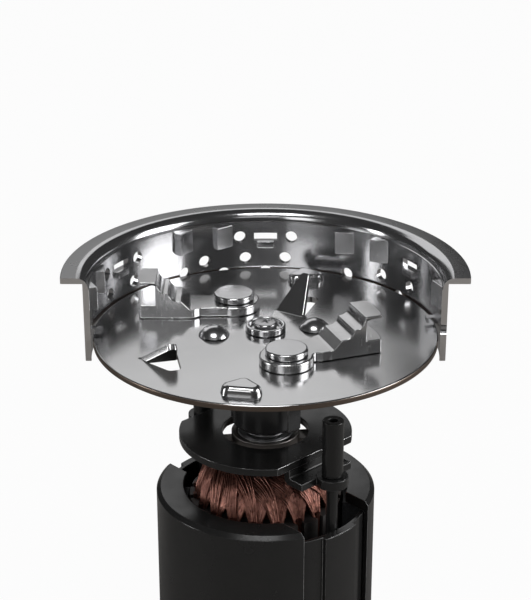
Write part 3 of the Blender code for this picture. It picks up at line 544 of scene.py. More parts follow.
def raised(net: Net, height: object, strength: float, depth: float, rounding: float = 0.0) -> Socket:
    """A normal that a height is pressed into.

    Args:
        net: the material's net.
        height: the height's socket.
        strength: how much of the height shows.
        depth: how deep the full height is.
        rounding: the radius that the sharp edges look worn to, or 0.

    Returns:
        The normal's socket.
    """
    inputs = {"Strength": strength, "Distance": depth, "Height": height}
    if rounding:
        inputs["Normal"] = net.add("Bevel", {"Radius": rounding}, samples=6).outputs["Normal"]
    return net.add("Bump", inputs).outputs[0]


class Grain(Enum):
    """How a bare metal surface was last worked."""

    TUMBLED = "tumbled"
    TURNED = "turned"
    ROLLED = "rolled"
    SAWN = "sawn"


@dataclass(frozen=True)
class Finish:
    """A finish with a name, which becomes a material."""

    name: str

    def build(self, effects: Effects) -> Material:
        """Make the material.

        Args:
            effects: the shared node groups.

        Returns:
            The new material.
        """
        material = bpy.data.materials.new(self.name)
        material.use_nodes = True
        net = Net(material.node_tree)
        net.feed(material.node_tree.nodes["Principled BSDF"], self._wired(net, effects))
        return material

    def _wired(self, net: Net, effects: Effects) -> dict[str, object]:
        """What each of the shader's inputs is set to, or the socket that feeds it."""
        raise NotImplementedError


@dataclass(frozen=True)
class BareMetal(Finish):
    """Metal with no coating: its colour, its range of roughness and its grain."""

    colour: Colour
    low: float
    high: float
    grain: Grain = Grain.TUMBLED
    scuffs: float = 0.4
    patch: float = 45.0
    metallic: float = 1.0
    rounding: float = 0.0
    dulled: float = 0.88

    def _wired(self, net: Net, effects: Effects) -> dict[str, object]:
        """Clouded metal with its working marks and its scratches."""
        scuffed = effects.use(net, effects.scuffs, density=self.scuffs)
        rough = effects.smudged(net, self.patch, self.low, self.high)
        cloud = effects.smudged(net, 0.6 * self.patch, 0.0, 0.6)
        other = tuple(self.dulled * channel for channel in self.colour)
        height = net.maths("SUBTRACT", self._marks(net, effects), net.maths("MULTIPLY", scuffed, 0.2))
        return {"Metallic": self.metallic, "Base Color": blend(net, self.colour, other, cloud),
                "Roughness": net.maths("ADD", rough, net.maths("MULTIPLY", scuffed, 0.05)),
                "Normal": raised(net, height, 0.10, 0.02 * MM, self.rounding)}

    def _marks(self, net: Net, effects: Effects) -> Socket:
        """The height of the marks that its last working left."""
        if self.grain is Grain.TURNED:
            return effects.use(net, effects.turning, pitch=5200.0)
        if self.grain is Grain.ROLLED:
            return net.grain((70.0, 70.0, 2600.0))
        if self.grain is Grain.SAWN:
            return net.maths("MULTIPLY", net.grain((2400.0, 2400.0, 260.0), 3.0), 2.5)
        return net.maths("MULTIPLY", net.grain((420.0, 420.0, 420.0)), 0.5)


@dataclass(frozen=True)
class BlackEnamel(Finish):
    """Baked black paint with fine peel, dust and edges that are rubbed to the metal."""

    colour: Colour = (0.016, 0.016, 0.016)
    low: float = 0.16
    high: float = 0.28
    peel: float = 900.0
    rubbed: float = 0.9
    rounding: float = 0.4 * MM
    dusty: Colour = (0.021, 0.0205, 0.02)
    bare: Colour = (0.72, 0.72, 0.73)

    def _wired(self, net: Net, effects: Effects) -> dict[str, object]:
        """Dusty paint, with bare metal where it is worn through."""
        worn = effects.use(net, effects.wear, amount=self.rubbed)
        paint = blend(net, self.colour, self.dusty, effects.smudged(net, 70.0, 0.0, 0.5))
        peel = net.noise(net.where(), self.peel, 2.0)
        return {"Base Color": blend(net, paint, self.bare, worn),
                "Metallic": net.maths("MULTIPLY", worn, 0.9),
                "Roughness": effects.smudged(net, 55.0, self.low, self.high),
                "Normal": raised(net, peel, 0.06, 0.03 * MM, self.rounding)}


@dataclass(frozen=True)
class EnamelledWire(Finish):
    """Copper under clear red-brown enamel, darker in patches where varnish has run, and darkened towards the
    top by painted shade, as under the bracket.
    """

    bright: Colour = (0.50, 0.225, 0.17)
    dark: Colour = (0.11, 0.038, 0.028)
    # how far down from the winding's top the painted shade reaches
    shaded_band: float = 8.0 * MM

    def _wired(self, net: Net, effects: Effects) -> dict[str, object]:
        """Coated copper with dark runs of varnish, and painted shade that darkens it towards the top."""
        runs = effects.smudged(net, 150.0, 0.0, 0.8)
        strand = net.between(net.grain((900.0, 900.0, 400.0)), (0.4, 0.6), (0.0, 0.8))
        # painted shade: the wire darkens over the winding's top band, where it lies in shade under the bracket
        top = levels("armature_winding")[1]
        level = net.add("SeparateXYZ", {0: net.where()}).outputs["Z"]
        painted_shade_near_top = net.between(level, (top - self.shaded_band, top), (0.0, 0.85))
        shade = net.maths("MAXIMUM", net.maths("MAXIMUM", runs, strand), painted_shade_near_top)
        return {"Metallic": 0.85, "Coat Roughness": 0.2, "Coat Weight": 0.25,
                "Base Color": blend(net, self.bright, self.dark, shade),
                "Roughness": effects.smudged(net, 200.0, 0.26, 0.46)}


@dataclass(frozen=True)
class Laminated(Finish):
    """A stack of thin sheets: fine level lines round its side."""

    colour: Colour = (0.13, 0.13, 0.135)
    stain: Colour = (0.09, 0.065, 0.05)
    sheet: float = 0.5 * MM

    def _wired(self, net: Net, effects: Effects) -> dict[str, object]:
        """Stained iron with a seam between each two sheets."""
        height = net.add("SeparateXYZ", {0: net.where()}).outputs["Z"]
        seam = net.maths("PINGPONG", net.maths("DIVIDE", height, self.sheet), 0.5)
        return {"Metallic": 0.8, "Roughness": effects.smudged(net, 120.0, 0.4, 0.6),
                "Base Color": blend(net, self.colour, self.stain, effects.smudged(net, 90.0, 0.0, 0.7)),
                "Normal": raised(net, net.between(seam, (0.0, 0.12), (0.0, 1.0)), 0.5, 0.05 * MM)}


@dataclass(frozen=True)
class Pressed(Finish):
    """A dull pressed stuff, such as ferrite, carbon or resin board, with its flecks."""

    colour: Colour
    fleck: Colour
    size: float = 1500.0
    low: float = 0.5
    high: float = 0.75

    def _wired(self, net: Net, effects: Effects) -> dict[str, object]:
        """Flecked stuff with a gritty surface."""
        grit = net.noise(net.where(), self.size, 4.0, 0.7)
        mask = net.between(grit, (0.45, 0.62), (0.0, 1.0))
        return {"Base Color": blend(net, self.colour, self.fleck, mask),
                "Roughness": effects.smudged(net, 140.0, self.low, self.high),
                "Normal": raised(net, grit, 0.3, 0.05 * MM)}


class Finishes:
    """Every material of the mechanism, built once."""

    def __init__(self) -> None:
        """Build each finish with the shared effects."""
        effects = Effects()
        turned, rolled, sawn = Grain.TURNED, Grain.ROLLED, Grain.SAWN
        worn_round = 0.25 * MM
        self.ring = BareMetal("ring_steel", (0.55, 0.55, 0.56), 0.12, 0.19, rolled, 0.15).build(effects)
        # the flange's rougher satin finish is its own; its darker colour than the ring steel is painted shade
        # on the flange's level top
        self.flange = BareMetal("flange_steel_painted_shade", (0.35, 0.35, 0.355), 0.26, 0.32, scuffs=0.0).build(effects)
        self.tooth = BareMetal("tooth_steel", (0.66, 0.66, 0.67), 0.20, 0.27, scuffs=0.0,
                               rounding=worn_round).build(effects)
        self.cut = BareMetal("ring_cut_faces", (0.50, 0.475, 0.455), 0.42, 0.55, sawn, 0.3,
                             metallic=0.4).build(effects)
        self.table = BareMetal("table_steel", (0.57, 0.57, 0.575), 0.15, 0.21, scuffs=0.1,
                               patch=18.0).build(effects)
        self.rim = BareMetal("blanked_rim", (0.21, 0.165, 0.135), 0.30, 0.42, sawn, 0.2).build(effects)
        self.lug = BareMetal("lug_steel", (0.58, 0.58, 0.585), 0.18, 0.26, scuffs=0.0,
                             rounding=worn_round).build(effects)
        self.rivet = BareMetal("rivet_steel", (0.60, 0.60, 0.61), 0.15, 0.24, scuffs=0.15).build(effects)
        self.screw = BareMetal("screw_steel", (0.50, 0.50, 0.51), 0.2, 0.34, scuffs=0.5).build(effects)
        self.ground = BareMetal("ground_steel", (0.52, 0.52, 0.53), 0.24, 0.38, turned).build(effects)
        self.spring = BareMetal("spring_steel", (0.45, 0.45, 0.46), 0.25, 0.4).build(effects)
        self.zinc = BareMetal("cast_zinc", (0.23, 0.215, 0.205), 0.34, 0.5, scuffs=0.2).build(effects)
        self.brass = BareMetal("stamped_brass", (0.66, 0.47, 0.2), 0.25, 0.42).build(effects)
        self.bars = BareMetal("commutator_bars", (0.62, 0.33, 0.21), 0.25, 0.45, turned, 0.6).build(effects)
        self.enamel = BlackEnamel("black_enamel").build(effects)
        self.hub = BlackEnamel("black_oxide", (0.02, 0.02, 0.021), 0.15, 0.24, 1600.0).build(effects)
        self.post = BlackEnamel("post_enamel", low=0.15, high=0.24, peel=1400.0).build(effects)
        self.wire = EnamelledWire("enamelled_wire").build(effects)
        # the heap under the wires is a darker copy of the wire's copper: painted shade for the gaps between
        # the strands, with the wire's painted shade towards the top as well
        self.heap = EnamelledWire("coil_heap_painted_shade", (0.2, 0.08, 0.055), (0.05, 0.02, 0.015)).build(effects)
        self.core = Laminated("laminations").build(effects)
        self.ferrite = Pressed("ferrite", (0.045, 0.045, 0.05), (0.08, 0.08, 0.085)).build(effects)
        self.board = Pressed("resin_board", (0.27, 0.17, 0.09), (0.36, 0.25, 0.14), 900.0).build(effects)
        self.carbon = Pressed("carbon", (0.025, 0.025, 0.026), (0.06, 0.06, 0.06), 2200.0).build(effects)


# ------------------------------------------------------------------ places read from the solids

@dataclass(frozen=True)
class Heights:
    """The levels that the pieces are set out from."""

    table_top: float
    table_under: float
    bracket_top: float
    shoulder: float

    @classmethod
    def of_model(cls) -> "Heights":
        """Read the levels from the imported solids."""
        return cls(levels("turntable_hub")[1], levels("turntable")[0], levels("top_bracket")[1],
                   levels("housing_shell")[1])


@dataclass
class SubAssembly:
    """What every sub-assembly is given: the finishes, and the levels it is set out from."""

    finishes: Finishes
    heights: Heights


# ------------------------------------------------------------------ grinding chamber

SLOTS = (30.0, 90.0, 150.0)  # the directions of the ring's slots, in degrees
HOLE_ROWS = {
    13.7 * MM: (80.8, 99.2, 140.8, 159.2),
    4.3 * MM: (30.0, 44.7, 83.0, 97.2, 112.3, 142.9, 157.3),
    3.8 * MM: (-8.4,),
    0.6 * MM: (59.5, 120.1),
    -1.9 * MM: (35.9, 90.0, 105.2),
}  # the round holes: each row's height above the table, and its directions


@dataclass
class ShredderRing(SubAssembly):
    """The fixed ring: a bent flange, slots with lips, pressed teeth and drain holes, cut open in front."""

    inner: float = 66.7 * MM
    wall: float = 2.3 * MM
    flange_reach: float = 77.2 * MM
    flange_top: float = 24.7 * MM
    below: float = 9.1 * MM
    bend: float = 4.4 * MM
    crease: float = 0.25 * MM
    front: float = -8.5 * MM
    keeper_angles: tuple[float, ...] = (5.2, 184.2)
    slot_low: float = 11.9 * MM
    slot_high: float = 15.3 * MM
    slot_half: float = 4.8 * MM
    tooth_reach: float = 3.3 * MM
    tooth_low: float = 9.8 * MM
    tooth_high: float = 19.2 * MM
    dent_inset: float = 2.0 * MM
    hole: float = 2.5 * MM

    def build(self) -> None:
        """Model the ring, cut it open and dress it."""
        ring = lathe("shredder_ring", self._section(), 240)
        teeth = [self._tooth(a, 0.0, self.tooth_low, self.tooth_high) for a in self._tooth_angles()]
        lips = [self._lip(a) for a in SLOTS]
        added = [gather("teeth", teeth), gather("lips", lips), gather("keepers", self._keepers())]
        combine(ring, added, "UNION")
        outward = self.wall + 0.7 * MM
        dents = [self._tooth(a, outward, self.tooth_low + self.dent_inset, self.tooth_high - self.dent_inset)
                 for a in self._tooth_angles()]
        combine(ring, [gather("openings", self._openings()), gather("dents", dents)], "DIFFERENCE")
        self._cut_open(ring)
        hand_over(ring, self.finishes.ring, Body.FRAME, ["grind_ring"], 28.0)
        self._dress(ring)

    def _section(self) -> list[Point]:
        """Half section: wall, a crease where the bend starts, the bend and the flange."""
        z = self.heights.table_top
        top = z + self.flange_top
        low = z - self.below
        outer = self.inner + self.wall
        crease = top - self.bend - 0.3 * MM
        corners = [(self.inner, low, 0.3 * MM), (self.inner, crease, 0.0),
                   (self.inner + self.crease, crease + 0.15 * MM, 0.0),
                   (self.inner + self.crease, top, self.bend),
                   (self.flange_reach, top, 0.35 * MM), (self.flange_reach, top - self.wall, 0.35 * MM),
                   (outer, top - self.wall, 0.2 * MM), (outer, low, 0.3 * MM)]
        return rounded(corners, 7)

    def _tooth_angles(self) -> list[float]:
        """Two teeth after each slot, round the part of the ring that is left."""
        pairs = [a + step for a in (-30.0, *SLOTS) for step in (15.0, 30.0)]
        return [a for a in pairs if a >= 0.0]

    def _tooth(self, angle: float, out: float, low: float, high: float) -> Piece:
        """A wedge with a steep side, on the wall's inside, shifted out by a distance."""
        root = self.inner + SINK + out
        corners = [(*polar(self.inner - self.tooth_reach + out, angle + 3.3).xy, 0.35 * MM),
                   (*polar(root, angle - 3.8).xy, 0.0), (*polar(root, angle + 4.1).xy, 0.0)]
        z = self.heights.table_top
        return soften(slab("tooth", rounded(corners, 3), z + low, z + high), 0.32 * MM, 2, 50.0)

    def _lip(self, angle: float) -> Piece:
        """The small tongue folded in below a slot."""
        z = self.heights.table_top + self.slot_low
        lip = brick("lip", (self.inner - 1.6 * MM, self.inner + SINK), (-3.65 * MM, 3.65 * MM),
                    (z - 2.9 * MM, z))
        return place(soften(lip, 0.45 * MM), turn=angle)

    def _keepers(self) -> list[Piece]:
        """The two short tongues low on the wall, one near each cut end."""
        z = self.heights.table_top
        made = []
        tip, root, high = self.inner - 4.6 * MM, self.inner + SINK, z + 3.3 * MM
        corners = [(tip, z + 1.3 * MM, 0.2 * MM), (root, z + 0.7 * MM, 0.0), (root, high, 0.0),
                   (tip, high, 0.2 * MM)]
        for angle in self.keeper_angles:
            tongue = slab("keeper", rounded(corners, 2), -1.4 * MM, 1.4 * MM)
            made.append(place(place(tongue, tilt=90.0), turn=angle))
        return made

    def _openings(self) -> list[Piece]:
        """Cutters for the slots and for every row of round holes."""
        z = self.heights.table_top
        reach = (self.inner - PAST, self.inner + self.wall + PAST)
        cutters = [place(brick("slot", reach, (-self.slot_half, self.slot_half),
                               (z + self.slot_low, z + self.slot_high)), turn=a) for a in SLOTS]
        return cutters + [self._hole(a, z + height) for height, row in HOLE_ROWS.items() for a in row]

    def _hole(self, angle: float, height: float) -> Piece:
        """A cutter for one round hole through the wall."""
        cutter = drum("hole", Vector(), self.hole, self.inner - PAST, self.inner + self.wall + PAST, 32)
        place(cutter, tilt=90.0)
        return place(cutter, Vector((0, 0, height)), turn=angle + 90.0)

    def _cut_open(self, ring: Piece) -> None:
        """Take the front of the ring away and close the two cut faces."""
        edit(ring)
        bpy.ops.mesh.bisect(plane_co=(0, self.front, 0), plane_no=(0, -1, 0), use_fill=True,
                            clear_inner=False, clear_outer=True)
        close(ring)

    def _dress(self, ring: Piece) -> None:
        """Give the sawn faces and the teeth each their own duller finish, and the flange's level top a rougher
        finish in a darker colour, which is painted shade.
        """
        base = self.heights.table_top
        close_by = 0.05 * MM
        low, high = base + self.tooth_low - 0.1 * MM, base + self.tooth_high + 0.1 * MM
        dress_faces(ring, self.finishes.cut, lambda face: abs(face.center.y - self.front) < close_by
                    and abs(face.normal.y) > 0.98, flat=True)
        # painted shade: the flange's upward faces get the darker steel
        dress_faces(ring, self.finishes.flange, lambda face: face.center.z > base + self.flange_top - close_by
                    and face.normal.z > 0.99)
        dress_faces(ring, self.finishes.tooth, lambda face: self.inner - face.center.xy.length > 0.12 * MM
                    and low < face.center.z < high and abs(face.normal.y) < 0.9999)


@dataclass(frozen=True)
class LancedTab:
    """A tab that is cut free from the sheet on three sides and bent up.

    Its fields are the middle of the bend line, the direction that it points in plan, half its
    width at the bend, its length before it is bent, how far its point lies to one side, and the
    bend's angle. Angles are in degrees.
    """

    root: Vector
    toward: float
    half: float
    length: float
    skew: float
    lift: float


REAR_TAB = LancedTab(Vector((8.8, 15.8, 0)) * MM, 58.0, 6.4 * MM, 18.7 * MM, 0.0, 46.5)
FRONT_TAB = LancedTab(Vector((-40.4, -23.4, 0)) * MM, -75.1, 7.2 * MM, 13.2 * MM, -4.1 * MM, 43.0)
FRONT_BOSS = (Vector((-8.3, -54.6, 0)) * MM, -10.0)  # its middle, and its turn in degrees
REAR_BOSS = (Vector((16.4, 52.4, 0)) * MM, 8.0)


@dataclass
class Turntable(SubAssembly):
    """The disc that carries the lugs, with its pressed bosses and its two lanced tabs."""

    radius: float = 66.0 * MM
    thick: float = 2.4 * MM
    bore: float = 5.2 * MM
    boss_height: float = 3.5 * MM
    boss_reach: float = 4.7 * MM
    boss_corner: float = 3.0 * MM
    boss_depth: float = 0.55
    boss_spread: float = 0.5 * MM
    tab_bend: float = 2.2 * MM

    def build(self) -> None:
        """Model the disc with everything that is pressed from it, and dress it."""
        top, under = self.heights.table_top, self.heights.table_under
        corners = [(0.0, under, 0.0), (self.radius, under, 0.5 * MM), (self.radius, top, 0.7 * MM),
                   (0.0, top, 0.0)]
        disc = lathe("turntable_disc", rounded(corners, 5), 240)
        holes = [through("bore", Vector(), self.bore, under, top)]
        holes += [through("pin_hole", middle_of("lug_pin_" + end), PIN + GAP, under, top)
                  for end in ("front", "rear")]
        holes += [through("rivet_hole", middle_of("stop_rivet_" + side), RIVET + GAP, under, top)
                  for side in ("left", "right")]
        rear_tab, rear_gap = self._tab(REAR_TAB)
        front_tab, front_gap = self._tab(FRONT_TAB)
        combine(disc, [gather("holes", holes), rear_gap, front_gap], "DIFFERENCE")
        front_boss, front_hollow = self._boss(*FRONT_BOSS)
        rear_boss, rear_hollow = self._boss(*REAR_BOSS)
        combine(disc, [front_boss, rear_boss, rear_tab, front_tab], "UNION")
        combine(disc, [gather("hollows", [front_hollow, rear_hollow])], "DIFFERENCE")
        hand_over(disc, self.finishes.table, Body.ROTOR, ["turntable"], 30.0)
        edge = self.radius - 0.3 * MM
        dress_faces(disc, self.finishes.rim,
                    lambda face: face.center.xy.length > edge and abs(face.normal.z) < 0.6)

    def _boss_outline(self, grow: float) -> list[Point]:
        """A flattened triangle with round corners."""
        points: list[Point] = []
        for corner in (-150.0, -30.0, 90.0):
            at = polar(self.boss_reach, corner)
            points += arc(at.x, at.y * self.boss_depth, self.boss_corner + grow,
                          corner - 60.0, corner + 60.0, 10)
        return points

    def _boss(self, at: Vector, turn: float) -> tuple[Piece, Piece]:
        """A pressed boss with sloping sides and a rolled rim, and the hollow below it."""
        top = self.heights.table_top
        boss = slab("boss", self._boss_outline(self.boss_spread), top - SINK, top + self.boss_height)
        edit(boss)
        self._pick_rim(boss, top + 0.9 * self.boss_height)
        bpy.ops.transform.resize(value=(0.9, 0.88, 1.0), center_override=(0, 0, top))
        bpy.ops.mesh.bevel(offset=1.6 * MM, segments=6, profile=0.5, affect="EDGES")
        close(boss)
        hollow = slab("hollow", self._boss_outline(-2.0 * MM), self.heights.table_under - PAST,
                      top + self.boss_height - 2.0 * MM)
        return place(boss, at, turn), place(hollow, at, turn)

    @staticmethod
    def _pick_rim(boss: Piece, above: float) -> None:
        """Select only the edges that lie above a height."""
        bpy.ops.mesh.select_all(action="DESELECT")
        bpy.ops.object.mode_set(mode="OBJECT")
        for edge in boss.data.edges:
            edge.select = all(boss.data.vertices[v].co.z > above for v in edge.vertices)
        bpy.ops.object.mode_set(mode="EDIT")

    def _tab(self, plan: LancedTab) -> tuple[Piece, Piece]:
        """A tab lanced from the sheet and bent up, and the cutter for the hole it leaves.

        Args:
            plan: the tab's place and shape.

        Returns:
            The tab and the cutter.
        """
        half, length, lift = plan.half, plan.length, math.radians(plan.lift)
        tip = 1.6 * MM
        corners = [(-half, -1.2 * MM, 0.0), (half, -1.2 * MM, 0.0), (half, 0.0, 0.0),
                   (plan.skew + tip, length, 1.4 * MM), (plan.skew - tip, length, 1.4 * MM), (-half, 0.0, 0.0)]
        tab = slab("tab", rounded(corners, 4), -self.thick, 0.0)
        edit(tab)
        for i in range(9):
            line = -0.3 * MM + self.tab_bend * lift * (i + 0.5) / 8
            bpy.ops.mesh.select_all(action="SELECT")
            bpy.ops.mesh.bisect(plane_co=(0, line, 0), plane_no=(0, 1, 0))
        close(tab)
        soften(tab, 0.25 * MM, 2, 40.0)
        for vertex in tab.data.vertices:
            vertex.co.y, vertex.co.z = self._bent(vertex.co.y, vertex.co.z, lift)
        place(tab, plan.root + Vector((0, 0, self.heights.table_top - 0.02 * MM)), plan.toward - 90.0)
        grow = 0.5 * MM
        wide, far = tip + 1.4 * grow, length + 3 * grow
        outline = [(-half - grow, SINK, 0.6 * MM), (half + grow, SINK, 0.6 * MM),
                   (plan.skew + wide, far, 2.0 * MM), (plan.skew - wide, far, 2.0 * MM)]
        hole = slab("tab_hole", rounded(outline, 5), self.heights.table_under - PAST,
                    self.heights.table_top + PAST)
        return tab, place(hole, plan.root, plan.toward - 90.0)

    def _bent(self, y: float, z: float, lift: float) -> Point:
        """Where a point of the flat tab lies once it is bent up."""
        reach = self.tab_bend * lift
        angle = min(max(y / self.tab_bend, 0.0), lift)
        beyond = max(y - reach, 0.0)
        span = self.tab_bend - z
        return (min(y, 0.0) + span * math.sin(angle) + beyond * math.cos(lift),
                self.tab_bend - span * math.cos(angle) + beyond * math.sin(lift))


@dataclass
class SwivelLug(SubAssembly):
    """A lug: a round plate on its pin, a neck, and an arm that climbs in three hollowed steps."""

    end: str
    body: Body
    direction: float
    hub: float = 10.1 * MM
    plate: float = 3.6 * MM
    right: float = -3.7 * MM
    left: float = 12.1 * MM
    start: float = 16.0 * MM
    reach: float = 37.5 * MM
    tip: float = 26.6 * MM
    height: float = 15.0 * MM
    first_step: float = 3.5 * MM
    second_step: float = 3.4 * MM
    notch: float = 30.4 * MM
    notch_floor: float = 5.5 * MM
    top_plate: float = 1.2 * MM

    def build(self) -> None:
        """Model the lug at its pin and dress it."""
        z = self.heights.table_top + GAP
        bore = PIN + GAP
        corners = [(bore, z, 0.0), (self.hub, z, 0.2 * MM), (self.hub, z + self.plate, 0.9 * MM),
                   (bore, z + self.plate, 0.0)]
        plate = lathe("swivel_lug_" + self.end, rounded(corners, 4), 96)
        neck = slab("neck", rounded(self._neck(), 6), z, z + self.plate)
        soften(neck, 0.5 * MM, 3, 50.0)
        combine(plate, [neck, self._arm(z)], "UNION")
        place(plate, middle_of("lug_pin_" + self.end), self.direction)
        hand_over(plate, self.finishes.lug, self.body, ["lug_" + self.end], 30.0)

    def _neck(self) -> list[Corner]:
        """The plan of the neck between the round plate and the arm."""
        inner = 5.6 * MM
        end = self.start + SINK
        return [(inner, self.hub - 2.3 * MM, 0.0), (2.0 * MM, self.hub - 0.35 * MM, 0.0),
                (13.2 * MM, self.hub, 2.0 * MM), (self.start - 0.6 * MM, self.left - 0.05 * MM, 1.2 * MM),
                (end, self.left - 0.05 * MM, 0.0), (end, self.right + 0.05 * MM, 0.0),
                (13.0 * MM, self.right + 0.05 * MM, 0.4 * MM), (10.2 * MM, -2.9 * MM, 1.2 * MM),
                (inner, -6.0 * MM, 0.0)]

    def _arm(self, z: float) -> Piece:
        """The climbing arm, with a hollow under its top plate."""
        end = self.reach + PAST
        step = self.plate + self.first_step
        second = step + self.second_step
        shelf = self.height - self.top_plate
        side = [(self.start, 0.0), (end, 0.0), (end, self.notch_floor), (self.notch, self.notch_floor),
                (self.notch, shelf), (end, shelf), (end, self.height)]
        side += self._hollow(26.5 * MM, self.height, 3.4 * MM, self.height - second)
        side += self._hollow(21.5 * MM, second, 3.9 * MM, second - step)
        side += [(20.4 * MM, step), (17.1 * MM, self.plate), (self.start, self.plate)]
        arm = slab("arm", side, -self.left, -self.right)
        place(arm, Vector((0, 0, z)), tilt=90.0)
        round_tip = through("tip", Vector((self.reach - self.tip, (self.left + self.right) / 2, 0)), self.tip,
                            z, z + self.height, 160)
        combine(arm, [round_tip], "INTERSECT")
        return soften(arm, 0.38 * MM, 3, 38.0)

    @staticmethod
    def _hollow(left: float, top: float, width: float, height: float) -> list[Point]:
        """A hollow quarter ellipse from its upper end down to its lower one."""
        angles = [math.radians(90.0 - 90.0 * i / 10) for i in range(11)]
        return [(left + width * math.sin(a), top - height * math.cos(a)) for a in angles]


@dataclass
class TableFasteners(SubAssembly):
    """The lug pins, the domed stops, and the washer and screw that clamp the table."""

    head: float = 7.9 * MM
    head_thick: float = 2.4 * MM
    lug_plate: float = 3.6 * MM
    stop: float = 5.9 * MM
    stop_height: float = 3.4 * MM
    clamp: float = 7.7 * MM
    clamp_bore: float = 6.4 * MM
    clamp_height: float = 2.4 * MM

    def build(self) -> None:
        """Model and dress every fastener on the table."""
        for end in ("front", "rear"):
            pin = lathe("lug_pin_head_" + end, self._pin_section(), 96)
            place(pin, middle_of("lug_pin_" + end))
            hand_over(pin, self.finishes.rivet, Body.ROTOR, ["lug_pin_" + end])
        for side in ("left", "right"):
            stop = lathe("domed_stop_" + side, self._stop_section(), 72)
            place(stop, middle_of("stop_rivet_" + side))
            hand_over(stop, self.finishes.rivet, Body.ROTOR, ["stop_rivet_" + side])
        washer = lathe("clamp_cup", self._washer_section(), 96)
        hand_over(washer, self.finishes.rivet, Body.ROTOR, ["clamp_washer"])
        hand_over(self._screw(), self.finishes.screw, Body.ROTOR, ["clamp_screw"])

    def _pin_section(self) -> list[Point]:
        """Half section of a lug pin: head, shank and closed tail."""
        head = self.heights.table_top + 2 * GAP + self.lug_plate
        tail = self.heights.table_under - GAP
        flare = PIN + 2.4 * MM
        corners = [(0.0, tail - 2.4 * MM, 0.0), (flare, tail - 2.4 * MM, 1.4 * MM), (flare, tail, 0.2 * MM),
                   (PIN, tail, 0.0), (PIN, head, 0.0), (self.head, head, 0.3 * MM),
                   (self.head, head + self.head_thick, 0.8 * MM), (0.0, head + self.head_thick, 0.0)]
        return rounded(corners, 5)

    def _stop_section(self) -> list[Point]:
        """Half section of a domed stop."""
        low = self.heights.table_top + GAP
        sphere = (self.stop ** 2 + self.stop_height ** 2) / (2 * self.stop_height)
        half = math.degrees(math.asin(self.stop / sphere))
        tail = self.heights.table_under - GAP
        flare = RIVET + 1.7 * MM
        dome = arc(0.0, low + self.stop_height - sphere, sphere, 90.0 - half, 90.0, 14)
        return [(0.0, tail - 1.4 * MM), (RIVET + 1.0 * MM, tail - 1.4 * MM), (flare, tail - 0.6 * MM),
                (flare, tail), (RIVET, tail), (RIVET, low), *dome[:-1], (0.0, low + self.stop_height)]

    def _washer_section(self) -> list[Point]:
        """Half section of the clamping cup."""
        low = self.heights.table_top + GAP
        floor = low + 0.8 * MM
        bore = SCREW + GAP
        top = low + self.clamp_height
        corners = [(bore, low, 0.0), (self.clamp, low, 0.25 * MM), (self.clamp, top, 0.5 * MM),
                   (self.clamp_bore, top, 0.4 * MM), (self.clamp_bore - 0.3 * MM, floor, 0.4 * MM),
                   (bore, floor, 0.0)]
        return rounded(corners, 4)

    def _screw(self) -> Piece:
        """The middle screw, with a cross recess in its raised head."""
        low, high = levels("clamp_screw")
        seat = self.heights.table_top + 0.8 * MM + 2 * GAP
        head = 4.35 * MM
        corners = [(0.0, low, 0.0), (SCREW, low, 0.5 * MM), (SCREW, seat, 0.0), (head, seat, 0.15 * MM),
                   (head, high - 0.35 * MM, 0.7 * MM), (0.0, high, 0.0)]
        screw = lathe("clamp_screw_head", rounded(corners, 4), 72)
        recess = [place(brick("bar", (-1.9 * MM, 1.9 * MM), (-0.35 * MM, 0.35 * MM),
                              (high - 1.3 * MM, high + PAST)), turn=a) for a in (30.0, 120.0)]
        return combine(screw, recess, "DIFFERENCE")


# ------------------------------------------------------------------ hub and bridge

